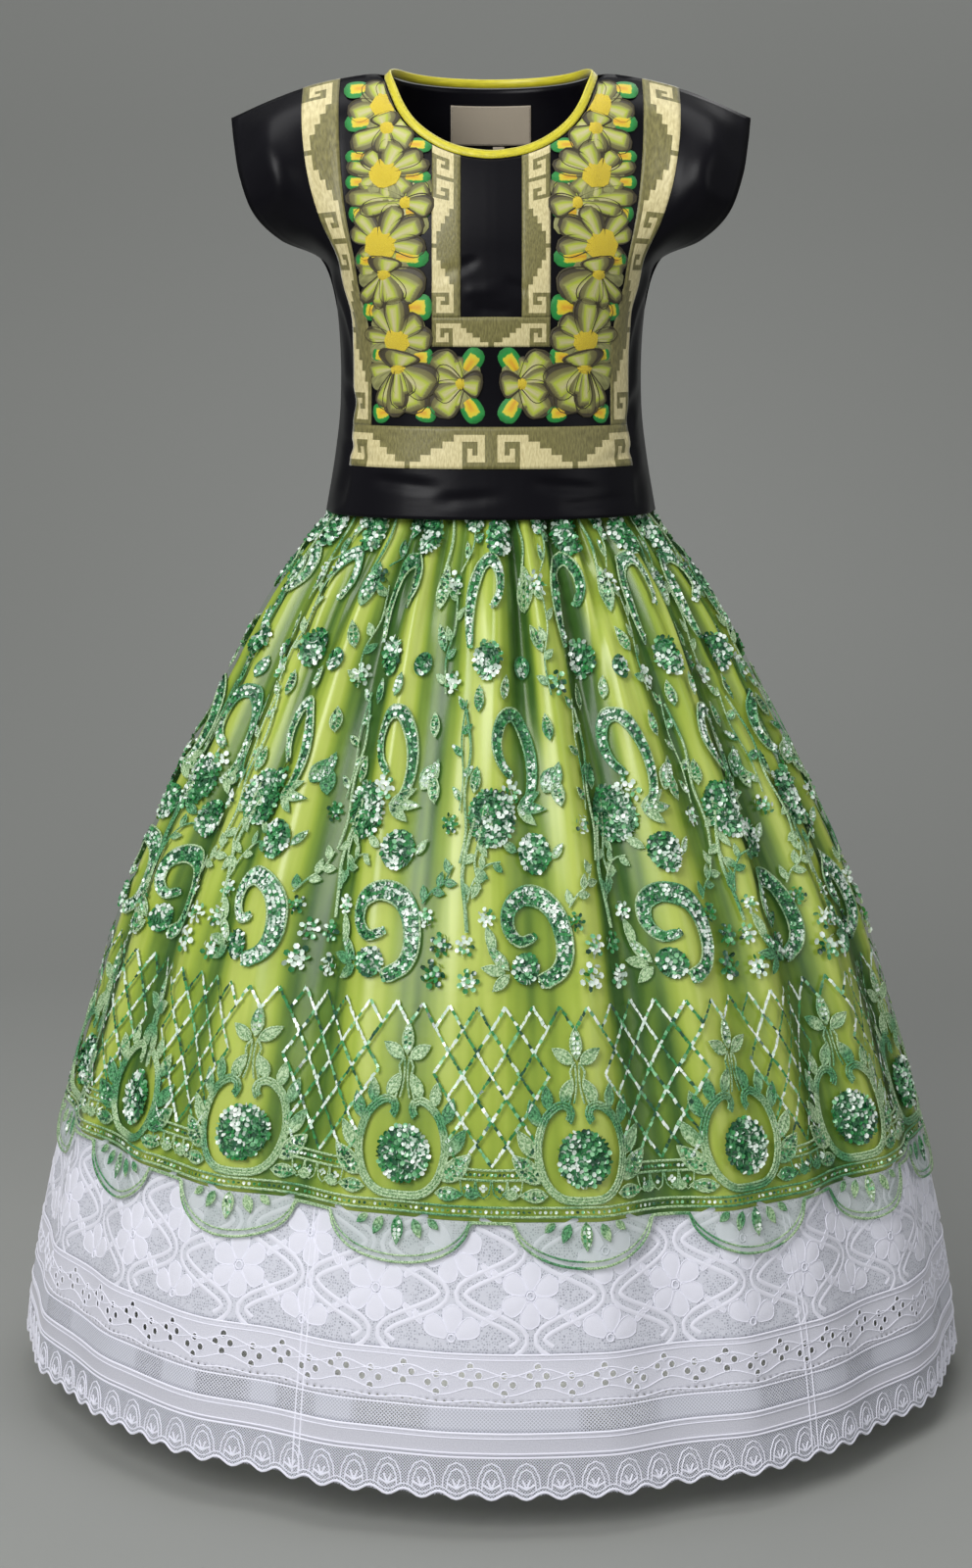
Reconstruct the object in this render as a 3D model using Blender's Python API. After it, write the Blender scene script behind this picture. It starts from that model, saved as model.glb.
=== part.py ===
"""An embroidered satin blouse over a gathered skirt with a white lace flounce.

The set is hollow, in the form it keeps when it is worn. Units are metres with +Z up; the tables are
in millimetres. The origin is the centre of the waist, the front faces -Y, and angles round the skirt
start at the front centre and grow towards +X.
"""
import math

import bmesh
import bpy
from mathutils import Vector

MM = 0.001
SEAM_GAP = 0.3
SATIN_SEAM_SHIFT = 0.2
PATCH_GAP = 0.45
PATCH_INSET = 0.18
ROW_ROUNDING = 1e-6
SHARP_ANGLE = 50.0
NEAR_SEAM = 1.0
BINDING_GAP = 0.8
EDGE_LACE_GAP = 0.6

# Walls of cloth, in millimetres.
BLOUSE_WALL = 1.6
BAND_THICKNESS = 1.3
LABEL_THICKNESS = 1.2
NET_WALL = 1.4
SATIN_WALL = 1.6
NET_TO_SATIN = 2.6
FLOUNCE_WALL = 1.4
WAISTBAND_WALL = 3.0
WAISTBAND_HALF_HEIGHT = 17.5
WAISTBAND_COLUMNS = 48

# The skirt and flounce as level sections: outer half sizes and how deep the folds cut in.
# Columns: z, half_width, half_depth, fold_depth.
SKIRT_SECTIONS = (
    (-17.5, 129.0, 101.0, 1.5),
    (-60.0, 143.0, 111.0, 3.0),
    (-97.0, 160.5, 120.2, 4.5),
    (-125.0, 183.0, 140.0, 8.0),
    (-180.0, 223.0, 173.0, 13.0),
    (-266.0, 270.0, 213.0, 18.0),
    (-368.0, 322.0, 257.0, 22.0),
    (-480.0, 373.0, 303.0, 22.0),
    (-600.0, 411.0, 342.0, 19.0),
    (-715.0, 444.0, 371.0, 14.0),
    (-790.0, 463.0, 399.0, 11.0),
    (-875.0, 480.0, 428.0, 9.0),
    (-960.0, 491.0, 456.0, 8.0),
)

# Troughs of the folds round the skirt.
# Columns: angle at the top, angle it drifts by towards the hem, depth, half width in degrees,
# and how much of the depth is left at the hem.
SKIRT_FOLDS = (
    (-78.0, 1.0, 0.80, 7.0, 0.7),
    (-60.0, 1.0, 1.00, 8.0, 0.8),
    (-44.0, -2.0, 0.75, 7.0, 0.5),
    (-28.0, 2.0, 1.15, 8.0, 0.9),
    (-12.0, -1.0, 0.60, 7.0, 0.5),
    (7.0, 1.0, 0.90, 6.5, 0.1),
    (21.0, 1.0, 1.20, 7.5, 1.0),
    (38.0, 0.0, 0.80, 7.5, 0.5),
    (60.0, -9.0, 1.10, 8.0, 1.0),
    (76.0, -2.0, 0.80, 7.0, 0.8),
    (93.0, 2.0, 0.90, 8.0, 0.7),
    (110.0, -1.0, 0.70, 7.0, 0.6),
    (125.0, 2.0, 1.10, 8.0, 0.9),
    (141.0, -2.0, 0.80, 7.0, 0.4),
    (156.0, 1.0, 1.00, 8.0, 0.8),
    (172.0, 2.0, 0.75, 7.0, 0.6),
    (187.0, -1.0, 1.15, 8.0, 0.9),
    (203.0, 2.0, 0.70, 7.0, 0.3),
    (219.0, -2.0, 1.00, 8.0, 0.8),
    (235.0, 1.0, 0.85, 7.5, 0.7),
    (250.0, 1.0, 1.05, 7.5, 0.6),
    (266.0, -2.0, 0.80, 7.5, 0.8),
)

SKIRT_TOP = -17.5 - SEAM_GAP
SATIN_HEM = -715.0
SATIN_HEM_TILT = -13.0
WHITE_HEM = -949.0
WHITE_HEM_TILT = -7.0
SKIRT_COLUMNS = 96
NET_ROW_SHARES = (0.0, 0.108, 0.20, 0.335, 0.53, 0.76, 1.0)
SATIN_ROW_SHARES = (0.0, 0.108, 0.20, 0.53, 1.0)

# Net scallops below the satin hem.
SCALLOPS = 16
SCALLOP_HALF_WIDTH = 56.0
SCALLOP_DROP = 38.0
NET_HEM_EXTRA = 3.0

# Bands of the flounce as shares of its height, from the satin hem down.
LACE_SHARES = (0.0, 0.24, 0.475)
EYELET_SHARES = (0.475, 0.665)
INSERTION_SHARES = (0.665, 0.76)
RIBBON_SHARES = (0.76, 0.845)
EDGE_SHARES = (0.845, 1.0)
EYELETS = 96
EYELET_HALF_WIDTH = 3.6
EYELET_SHIFT = 6.0
EYELET_END_TURN = 0.03
EDGE_SCALLOPS = 96
EDGE_SCALLOP_DROP = 6.0

# The blouse below the arms as level sections.
# Columns: z, half_width, front_depth, back_depth.
BLOUSE_SECTIONS = (
    (-97.0, 165.0, 124.0, 124.0),
    (-49.0, 156.5, 117.0, 114.0),
    (-9.0, 151.0, 113.0, 106.0),
    (30.0, 149.0, 113.0, 102.0),
    (67.0, 149.5, 117.0, 103.0),
    (95.0, 151.5, 120.0, 106.0),
    (122.0, 155.0, 120.0, 108.0),
    (150.0, 168.0, 117.0, 108.0),
)
UNDERARM = 150.0
SECTION_POWER = 2.5

# The sleeve edge from the underarm to its tip at the shoulder.
# Columns: share of the way up, x, z.
SLEEVE_EDGE = (
    (0.0, 168.0, 150.0),
    (0.10, 187.0, 161.0),
    (0.22, 204.0, 167.0),
    (0.45, 229.0, 192.0),
    (0.68, 243.0, 228.0),
    (0.86, 250.0, 262.0),
    (1.0, 254.0, 285.0),
)
SLEEVE_HALF_DEPTH = 56.0
SLEEVE_FROM_X = 140.0
UPPER_SPREAD = 2.5
SHOULDER_POWER = 1.6
SHOULDER_ROOT = 0.55

NECK_HALF_WIDTH = 103.0
NECK_SIDE_Z = 329.0
NECK_FRONT_DROP = 87.0
NECK_BACK_DROP = 11.0
BACK_NECK_LEAN = 0.18
SHOULDER_TIP_X = 254.0
SHOULDER_TIP_Z = 285.0
SHOULDER_CROWN = 8.0
BINDING_WIDTH = 9.0
BINDING_PROUD = 0.8
BINDING_THICKNESS = 2.4
BINDING_CHAMFER = 1.2
BINDING_TAPER = 1.0
SHOULDER_EASE = 0.9
NECK_CENTRE_RISE = 30.0

# Upright lines of the front. Columns: x below the chest, x at the underarm level, x at the top.
FRONT_LINES = (
    (0.0, 0.0, 0.0),
    (6.0, 6.0, 6.0),
    (29.0, 29.0, 29.0),
    (43.0, 43.0, 43.0),
    (56.0, 56.0, 56.0),
    (68.0, 70.0, 73.0),
    (80.0, 83.0, 87.5),
    (88.0, 92.0, 97.0),
    (95.0, 99.0, 102.0),
    (101.0, 106.0, 103.0),
    (107.0, 117.0, 125.0),
    (115.0, 131.0, 147.0),
    (124.0, 139.0, 165.0),
    (133.0, 147.0, 183.0),
    (143.0, 157.0, 218.0),
)
BACK_LINES = (
    (0.0, 0.0, 0.0),
    (20.5, 20.5, 20.5),
    (41.0, 41.0, 41.0),
    (58.0, 58.0, 58.0),
    (74.0, 76.0, 77.0),
    (86.0, 90.0, 93.0),
    (92.0, 97.0, 100.0),
    (99.0, 106.0, 103.0),
    (112.0, 125.0, 143.0),
    (130.0, 145.0, 183.0),
    (143.0, 158.0, 218.0),
)
FRONT_LEVELS = (-97.0, -49.0, -9.0, 30.0, 67.0, 95.0, 122.0, 150.0)
BACK_LEVELS = (-97.0, -49.0, 0.0, 50.0, 100.0, 150.0)
FRONT_SHARES = (0.22, 0.45, 0.68, 0.86, 1.0)
BACK_SHARES = (0.25, 0.48, 0.67, 0.886, 1.0)
CHEST_LEVEL = 67.0
WAIST_HALF_WIDTH = 150.0

# Which lines and rows of the front each embroidered band covers.
LINE_FLOWER_GAP, LINE_FRET_IN, LINE_FRET_OUT, LINE_FLOWER_OUT, LINE_OUTER_FRET = 1, 2, 4, 11, 13
ROW_HEM_BAND, ROW_HEM_BAND_TOP, ROW_BAR, ROW_BAR_TOP, ROW_SHOULDER = 1, 2, 4, 5, 12

# Flowers of the two bands, mirrored on the other side.
# Columns: x, z, radius, petals, turn in degrees.
FLOWERS = (
    (100.0, 306.0, 44.0, 9, 10.0),
    (102.0, 226.0, 46.0, 9, 25.0),
    (100.0, 168.0, 47.0, 10, 0.0),
    (96.0, 112.0, 40.0, 9, 15.0),
    (88.0, 72.0, 44.0, 10, 5.0),
    (87.0, 24.0, 42.0, 9, 20.0),
    (32.0, 30.0, 34.0, 9, 0.0),
)
FLOWER_BASE = 1.0
PETAL_RISE = 1.5
PETAL_PEAK_SHIFT = 0.15
CENTRE_SHARE = 0.22
CENTRE_RISE = 1.2

# Label and size tab inside the back neck.
LABEL_LINES = 2
LABEL_ROWS = (8, 9)
TAB_CENTRE_X, TAB_HALF_WIDTH, TAB_HEIGHT, TAB_THICKNESS = 8.0, 6.0, 5.0, 1.0
TAB_CLEARANCE = 0.6

MATERIALS = {
    "black_satin": ((0.008, 0.008, 0.012), 0.32),
    "yellow_binding": ((0.68, 0.58, 0.03), 0.5),
    "label_cloth": ((0.27, 0.23, 0.19), 0.8),
    "fret_thread": ((0.72, 0.62, 0.38), 0.45),
    "flower_thread": ((0.55, 0.60, 0.20), 0.45),
    "lime_satin": ((0.42, 0.60, 0.09), 0.3),
    "green_net": ((0.12, 0.36, 0.09), 0.55),
    "white_lace": ((0.80, 0.81, 0.90), 0.8),
    "white_ribbon": ((0.84, 0.85, 0.93), 0.6),
}


def clear_scene():
    for item in list(bpy.data.objects):
        bpy.data.objects.remove(item, do_unlink=True)


def material(name):
    found = bpy.data.materials.get(name)
    if found:
        return found
    colour, roughness = MATERIALS[name]
    made = bpy.data.materials.new(name)
    made.use_nodes = True
    shader = made.node_tree.nodes["Principled BSDF"]
    shader.inputs["Base Color"].default_value = (*colour, 1.0)
    shader.inputs["Roughness"].default_value = roughness
    return made


def read_table(rows, at):
    """Read a table at a value of its first column, as a smooth curve through its rows."""
    falling = rows[0][0] > rows[-1][0]
    ordered = rows[::-1] if falling else rows
    at = min(max(at, ordered[0][0]), ordered[-1][0])
    k = 0
    while k < len(ordered) - 2 and at > ordered[k + 1][0]:
        k += 1
    low, high = ordered[k], ordered[k + 1]
    before, after = ordered[max(k - 1, 0)], ordered[min(k + 2, len(ordered) - 1)]
    step = high[0] - low[0]
    t = (at - low[0]) / step
    values = []
    for column in range(1, len(low)):
        start = (high[column] - before[column]) / (high[0] - before[0]) * step
        end = (after[column] - low[column]) / (after[0] - low[0]) * step
        values.append(
            (2 * t**3 - 3 * t**2 + 1) * low[column]
            + (t**3 - 2 * t**2 + t) * start
            + (3 * t**2 - 2 * t**3) * high[column]
            + (t**3 - t**2) * end
        )
    return values


def blend(t):
    t = min(max(t, 0.0), 1.0)
    return t * t * (3.0 - 2.0 * t)


def fold_dip(angle, z):
    """How far the folds cut in at an angle in degrees, as a share of the section's fold depth."""
    down = blend((SKIRT_TOP - z) / (SKIRT_TOP - SATIN_HEM))
    dip = 0.0
    for at, drift, depth, half_width, left in SKIRT_FOLDS:
        away = (angle - at - drift * down + 180.0) % 360.0 - 180.0
        share = away / (half_width * (1.0 + 0.25 * down))
        if abs(share) < 1.0:
            dip += depth * (1.0 + (left - 1.0) * down) * (1.0 - share * share) ** 2
    return dip


def skirt_surface(angle, z, folds=1.0):
    half_width, half_depth, fold_depth = read_table(SKIRT_SECTIONS, z)
    dip = fold_depth * fold_dip(angle, z) * folds
    turn = math.radians(angle)
    return Vector(((half_width - dip) * math.sin(turn), -(half_depth - dip) * math.cos(turn), z))


def skirt_normal(angle, z):
    """Outward from the section without its folds, so that walls and layers stay parallel."""
    step_angle, step_z = 1.5, 4.0
    across = skirt_surface(angle + step_angle, z, 0.0) - skirt_surface(angle - step_angle, z, 0.0)
    along = skirt_surface(angle, z + step_z, 0.0) - skirt_surface(angle, z - step_z, 0.0)
    return across.cross(along).normalized()


def skirt_point(angle, z, out):
    return skirt_surface(angle, z) + skirt_normal(angle, z) * out


def hem_level(angle, share):
    """Height at a share of the flounce, 0 at the satin hem and 1 at the white hem."""
    lean = math.sin(math.radians(angle))
    top = SATIN_HEM + SATIN_HEM_TILT * lean
    bottom = WHITE_HEM + WHITE_HEM_TILT * lean
    return top + (bottom - top) * share


def make_object(name, bm, material_name, smooth=True):
    """Turn a closed mesh in millimetres into a named object in metres."""
    bmesh.ops.recalc_face_normals(bm, faces=bm.faces[:])
    bmesh.ops.scale(bm, vec=(MM, MM, MM), verts=bm.verts[:])
    mesh = bpy.data.meshes.new(name)
    bm.to_mesh(mesh)
    bm.free()
    if smooth:
        mesh.shade_smooth()
        mesh.set_sharp_from_angle(angle=math.radians(SHARP_ANGLE))
    mesh.materials.append(material(material_name))
    made = bpy.data.objects.new(name, mesh)
    bpy.context.scene.collection.objects.link(made)
    return made


def add_quad(bm, a, b, c, d):
    """Two triangles that share the diagonal a-c, so that parallel walls stay parallel."""
    bm.faces.new((a, b, c))
    bm.faces.new((a, c, d))


def ring_wall(name, angles, levels, outer, inner, material_name, seam_shift=0.0):
    """A wall round the skirt. levels(angle) lists heights; outer and inner give offsets.

    With a seam shift the wall is a half, and its two ends, at the sides, move by it along Y.
    """
    bm = bmesh.new()
    skins = []
    for offset in (outer, inner):
        skin = []
        for k, angle in enumerate(angles):
            at_end = k in (0, len(angles) - 1)
            move = Vector((0.0, seam_shift if at_end else 0.0, 0.0))
            heights = levels(angle)
            skin.append([bm.verts.new(skirt_point(angle, z, offset(row)) + move)
                         for row, z in enumerate(heights)])
        skins.append(skin)
    outside, inside = skins
    count, rows = len(angles), len(outside[0])
    for k in range(count - 1 if seam_shift else count):
        n = (k + 1) % count
        for row in range(rows - 1):
            add_quad(bm, outside[k][row + 1], outside[n][row + 1], outside[n][row], outside[k][row])
            add_quad(bm, inside[k][row + 1], inside[k][row], inside[n][row], inside[n][row + 1])
        add_quad(bm, outside[k][0], outside[n][0], inside[n][0], inside[k][0])
        add_quad(bm, inside[k][-1], inside[n][-1], outside[n][-1], outside[k][-1])
    if seam_shift:
        for end in (0, -1):
            for row in range(rows - 1):
                add_quad(bm, outside[end][row], outside[end][row + 1],
                         inside[end][row + 1], inside[end][row])
    return make_object(name, bm, material_name)


def even_angles(count):
    return [360.0 * k / count for k in range(count)]


def half_angles(first, count):
    """Angles of a half ring with this many columns in the whole ring, both ends included."""
    return [first + 360.0 * k / count for k in range(count // 2 + 1)]


def skirt_levels(angle, shares):
    bottom = hem_level(angle, 0.0)
    return [SKIRT_TOP + (bottom - SKIRT_TOP) * share for share in shares]


def net_levels(angle):
    """The net reaches the satin's hem and ends in scallops below it, one each side of the front."""
    pitch = 360.0 / SCALLOPS
    away = angle % pitch - pitch / 2.0
    point = skirt_surface(angle, SATIN_HEM)
    share = math.radians(away) * math.hypot(point.x, point.y) / SCALLOP_HALF_WIDTH
    drop = SCALLOP_DROP * math.sqrt(max(0.0, 1.0 - share * share))
    levels = skirt_levels(angle, NET_ROW_SHARES)
    return levels + [levels[-1] - NET_HEM_EXTRA - drop]


def make_skirt():
    angles = even_angles(SKIRT_COLUMNS)
    ring_wall("skirt_net_overlay", angles, net_levels, lambda row: 0.0, lambda row: -NET_WALL, "green_net")

    def satin_outer(row):
        return -(NET_WALL + (NET_TO_SATIN if row else SEAM_GAP))

    for name, first, seam_shift in (("front", -90.0, -SATIN_SEAM_SHIFT), ("back", 90.0, SATIN_SEAM_SHIFT)):
        ring_wall(
            "skirt_satin_" + name, half_angles(first, SKIRT_COLUMNS),
            lambda angle: skirt_levels(angle, SATIN_ROW_SHARES),
            satin_outer, lambda row: satin_outer(row) - SATIN_WALL, "lime_satin", seam_shift,
        )


def make_waistband():
    half_width, half_depth, _ = SKIRT_SECTIONS[0][1:]
    corners = ((0.0, 1.0), (0.0, -1.0), (-WAISTBAND_WALL, -1.0), (-WAISTBAND_WALL, 1.0))
    bm = bmesh.new()
    loops = []
    for out, side in corners:
        loop = []
        for angle in even_angles(WAISTBAND_COLUMNS):
            turn = math.radians(angle)
            x, y = (half_width + out) * math.sin(turn), -(half_depth + out) * math.cos(turn)
            loop.append(bm.verts.new((x, y, side * WAISTBAND_HALF_HEIGHT)))
        loops.append(loop)
    for k in range(WAISTBAND_COLUMNS):
        n = (k + 1) % WAISTBAND_COLUMNS
        for corner in range(len(corners)):
            after = (corner + 1) % len(corners)
            add_quad(bm, loops[corner][k], loops[after][k], loops[after][n], loops[corner][n])
    return make_object("waistband", bm, "lime_satin")


def flounce_outer():
    return -(NET_WALL + NET_TO_SATIN)


def flounce_ring(name, shares, columns, material_name, gap=SEAM_GAP, bottom_rise=None):
    """One band of the flounce, right round, with a seam gap above it."""
    out = flounce_outer()

    def levels(angle):
        heights = [hem_level(angle, share) for share in shares]
        heights[0] -= gap
        if bottom_rise:
            heights[-1] += bottom_rise(angle)
        return heights

    return ring_wall(name, even_angles(columns), levels, lambda row: out,
                     lambda row: out - FLOUNCE_WALL, material_name)


def edge_scallop(angle):
    """The lace edge rises between its scallops."""
    column = round(angle * EDGE_SCALLOPS * 2 / 360.0)
    return EDGE_SCALLOP_DROP if column % 2 else 0.0


def eyelet_strip(name, first, last):
    """A half of the eyelet strip, with one large eyelet cut through in each repeat."""
    bm = bmesh.new()
    out = flounce_outer()
    pitch = 360.0 / EYELETS
    columns = list(range(first, last + 1))
    skins = []
    for offset in (out, out - FLOUNCE_WALL):
        corners, holes = [], []
        for column in columns:
            angle = pitch * column
            if column == first:
                angle += EYELET_END_TURN
            if column == last:
                angle -= EYELET_END_TURN
            top = hem_level(angle, EYELET_SHARES[0]) - SEAM_GAP
            bottom = hem_level(angle, EYELET_SHARES[1])
            corners.append([bm.verts.new(skirt_point(angle, z, offset)) for z in (bottom, top)])
        for k, column in enumerate(columns[:-1]):
            low_left, top_left = corners[k]
            low_right, top_right = corners[k + 1]
            centre = (low_left.co + top_left.co + low_right.co + top_right.co) / 4.0
            across = (low_right.co - low_left.co).normalized() * EYELET_HALF_WIDTH
            along = (top_left.co - low_left.co).normalized()
            centre = centre + along * (EYELET_SHIFT if column % 2 else -EYELET_SHIFT)
            along = along * EYELET_HALF_WIDTH
            holes.append([bm.verts.new(centre + move) for move in (-across, -along, across, along)])
        skins.append((corners, holes))
    for corners, holes in skins:
        for k, (left, low, right, high) in enumerate(holes):
            low_left, top_left = corners[k]
            low_right, top_right = corners[k + 1]
            for face in (
                (low_left, low_right, low), (low_right, right, low),
                (low_right, top_right, right), (top_right, high, right),
                (top_right, top_left, high), (top_left, left, high),
                (top_left, low_left, left), (low_left, low, left),
            ):
                bm.faces.new(face)
    (outer, outer_holes), (inner, inner_holes) = skins
    for k in range(len(columns) - 1):
        for end in (0, 1):
            add_quad(bm, outer[k][end], outer[k + 1][end], inner[k + 1][end], inner[k][end])
        for corner in range(4):
            after = (corner + 1) % 4
            add_quad(bm, outer_holes[k][corner], outer_holes[k][after],
                     inner_holes[k][after], inner_holes[k][corner])
    for k in (0, -1):
        add_quad(bm, outer[k][0], outer[k][1], inner[k][1], inner[k][0])
    return make_object(name, bm, "white_lace")


def make_flounce():
    flounce_ring("flounce_lace", LACE_SHARES, SKIRT_COLUMNS, "white_lace")
    quarter = EYELETS // 4
    eyelet_strip("flounce_eyelets_front", -quarter, quarter)
    eyelet_strip("flounce_eyelets_back", quarter, 3 * quarter)
    flounce_ring("flounce_net_insertion", INSERTION_SHARES, SKIRT_COLUMNS, "white_lace")
    flounce_ring("flounce_ribbon_band", RIBBON_SHARES, SKIRT_COLUMNS, "white_ribbon")
    flounce_ring("flounce_edge_lace", EDGE_SHARES, EDGE_SCALLOPS * 2, "white_lace",
                 gap=EDGE_LACE_GAP, bottom_rise=edge_scallop)


def shoulder_height(x):
    """The shoulder seam, straight from the neck to the sleeve tip with a slight crown."""
    share = (x - NECK_HALF_WIDTH) / (SHOULDER_TIP_X - NECK_HALF_WIDTH)
    straight = NECK_SIDE_Z + (SHOULDER_TIP_Z - NECK_SIDE_Z) * share
    return straight + SHOULDER_CROWN * math.sin(math.pi * share)


def top_height(x, front):
    if x >= NECK_HALF_WIDTH:
        return shoulder_height(x)
    drop = NECK_FRONT_DROP if front else NECK_BACK_DROP
    return NECK_SIDE_Z - drop * math.sqrt(1.0 - (x / NECK_HALF_WIDTH) ** 2)


def level_depth(x, z, front):
    """Depth of the body below the arms at a place on one of its level sections."""
    half_width, front_depth, back_depth = read_table(BLOUSE_SECTIONS, z)
    share = min(x / half_width, 1.0)
    return (front_depth if front else back_depth) * math.sqrt(1.0 - share**SECTION_POWER)


def upper_depth(x_low, x_top, x, z, share, front):
    """Depth above the underarm: the body rounds over to the shoulder, the sleeve bulges."""
    base = level_depth(x_low, UNDERARM, front)
    crest = NECK_SIDE_Z if x_top < NECK_HALF_WIDTH else shoulder_height(x_top)
    rise = min(max((z - UNDERARM) / (crest - UNDERARM), 0.0), 1.0)
    rounded = (1.0 - rise**SHOULDER_POWER) ** SHOULDER_ROOT
    if not front and x < NECK_HALF_WIDTH:
        upright = math.sqrt(1.0 - (x / NECK_HALF_WIDTH) ** 2)
        rounded = rounded * (1.0 - upright) + (1.0 - BACK_NECK_LEAN * rise) * upright
    sleeve = blend((x_top - SLEEVE_FROM_X) / (SHOULDER_TIP_X - SLEEVE_FROM_X))
    return base * rounded + sleeve * SLEEVE_HALF_DEPTH * math.sin(math.pi * share)


def blouse_half(lines, levels, shares, front):
    """Points of half a panel, a list of lines from the centre to the side, each hem to top."""
    grid = []
    for x_chest, x_underarm, x_top in lines:
        line = []
        for z in levels:
            to_underarm = blend((z - CHEST_LEVEL) / (UNDERARM - CHEST_LEVEL))
            x = x_chest + (x_underarm - x_chest) * to_underarm
            if z < 0.0:
                widening = read_table(BLOUSE_SECTIONS, z)[0] / WAIST_HALF_WIDTH - 1.0
                x *= 1.0 + widening * (x_chest / WAIST_HALF_WIDTH) ** 2
            line.append(Vector((x, level_depth(x, z, front), z)))
        for share in shares:
            x = x_underarm + (x_top - x_underarm) * (1.0 - (1.0 - share) ** UPPER_SPREAD)
            z = UNDERARM + (top_height(x_top, front) - UNDERARM) * share
            line.append(Vector((x, upper_depth(x_underarm, x_top, x, z, share, front), z)))
        grid.append(line)
    side = [Vector((read_table(BLOUSE_SECTIONS, z)[0], 0.0, z)) for z in levels]
    for share in shares:
        x, z = read_table(SLEEVE_EDGE, share)
        side.append(Vector((x, SLEEVE_HALF_DEPTH * math.sin(math.pi * share), z)))
    grid.append(side)
    return grid


def grid_normals(grid, levels_count, front):
    """Outward normals at a half panel's points; those on a seam stay in the seam's plane."""
    last_line, last_row = len(grid) - 1, len(grid[0]) - 1
    outward = -1.0 if front else 1.0
    normals = []
    for j, line in enumerate(grid):
        row_normals = []
        for i in range(len(line)):
            across = grid[min(j + 1, last_line)][i] - grid[max(j - 1, 0)][i]
            along = line[min(i + 1, last_row)] - line[max(i - 1, 0)]
            normal = across.cross(along)
            if normal.y * outward < 0.0:
                normal.negate()
            if j == 0:
                normal.x = 0.0
            on_side_seam = j == last_line and i < levels_count
            if on_side_seam:
                normal = Vector((1.0, 0.0, 0.0))
            elif i == last_row and grid[j][i].x >= NECK_HALF_WIDTH - NEAR_SEAM:
                normal.y = 0.0
            row_normals.append(normal.normalized())
        normals.append(row_normals)
    return normals


class Panel:
    """A blouse panel as a grid of points and normals, mirrored about the centre line."""

    def __init__(self, lines, levels, shares, front):
        half = blouse_half(lines, levels, shares, front)
        facing = -1.0 if front else 1.0
        for line in half:
            for point in line:
                point.y = facing * max(point.y, SEAM_GAP / 2.0)
        normals = grid_normals(half, len(levels), front)
        self.side_lines = len(half) - 1
        self.rows = len(half[0])
        self.points, self.normals = {}, {}
        for j in range(-self.side_lines, self.side_lines + 1):
            mirror = -1.0 if j < 0 else 1.0
            for i in range(self.rows):
                point, normal = half[abs(j)][i], normals[abs(j)][i]
                self.points[j, i] = Vector((point.x * mirror, point.y, point.z))
                self.normals[j, i] = Vector((normal.x * mirror, normal.y, normal.z))

    def at(self, j, i, out):
        """A point over a grid place, which may lie between the grid's lines and rows."""
        j0, i0 = math.floor(j), math.floor(i)
        s, t = j - j0, i - i0
        point, normal = Vector(), Vector()
        for dj, di, weight in ((0, 0, (1 - s) * (1 - t)), (1, 0, s * (1 - t)),
                               (0, 1, (1 - s) * t), (1, 1, s * t)):
            if weight:
                point += self.points[j0 + dj, i0 + di] * weight
                normal += self.normals[j0 + dj, i0 + di] * weight
        return point + normal.normalized() * out

    def all_cells(self):
        return {(j, i) for j in range(-self.side_lines, self.side_lines) for i in range(self.rows - 1)}


def cells_between(first_line, last_line, first_row, last_row):
    return {(j, i) for j in range(first_line, last_line) for i in range(first_row, last_row)}


def patch(name, panel, cells, bottom, top, material_name, rows_each=1, rise=None):
    """A solid over some cells of a panel: plain below, with its raised form in the top points."""
    bm = bmesh.new()
    inset = {}
    if bottom > 0.0:
        for j, i in {(j + a, i + b) for j, i in cells for a in (0, 1) for b in (0, 1)}:
            near = [(j - a, i - b) for a in (0, 1) for b in (0, 1) if (j - a, i - b) in cells]
            if len(near) < 4:
                centre = Vector()
                for cell_j, cell_i in near:
                    centre += panel.at(cell_j + 0.5, cell_i + 0.5, 0.0) / len(near)
                inset[j, i] = (centre - panel.at(j, i, 0.0)).normalized() * PATCH_INSET
    lower, upper = {}, {}

    def shift(j, i):
        """The inset of a boundary point, shared out along an edge between two grid places."""
        i0 = math.floor(i + ROW_ROUNDING)
        t = i - i0
        start = inset.get((j, i0), Vector())
        if t < ROW_ROUNDING:
            return start
        return start * (1 - t) + inset.get((j, i0 + 1), Vector()) * t

    def low(j, i):
        if (j, i) not in lower:
            lower[j, i] = bm.verts.new(panel.at(j, i, bottom) + shift(j, i))
        return lower[j, i]

    def high(j, step):
        if (j, step) not in upper:
            i = step / rows_each
            place = panel.at(j, i, 0.0)
            extra = rise(place) if rise else 0.0
            upper[j, step] = bm.verts.new(panel.at(j, i, top + extra) + shift(j, i))
        return upper[j, step]

    for j, i in sorted(cells):
        # The diagonals are mirrored about the centre line, as the points are.
        near, far = (j, j + 1) if j < 0 else (j + 1, j)
        add_quad(bm, low(near, i), low(far, i), low(far, i + 1), low(near, i + 1))
        for step in range(i * rows_each, (i + 1) * rows_each):
            add_quad(bm, high(near, step), high(far, step), high(far, step + 1), high(near, step + 1))
        if (j - 1, i) not in cells:
            side_wall(bm, low(j, i), low(j, i + 1),
                      [high(j, step) for step in range(i * rows_each, (i + 1) * rows_each + 1)])
        if (j + 1, i) not in cells:
            side_wall(bm, low(j + 1, i), low(j + 1, i + 1),
                      [high(j + 1, step) for step in range(i * rows_each, (i + 1) * rows_each + 1)])
        if (j, i - 1) not in cells:
            side_wall(bm, low(j, i), low(j + 1, i), [high(j, i * rows_each), high(j + 1, i * rows_each)])
        if (j, i + 1) not in cells:
            step = (i + 1) * rows_each
            side_wall(bm, low(j, i + 1), low(j + 1, i + 1), [high(j, step), high(j + 1, step)])
    return make_object(name, bm, material_name)


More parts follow.
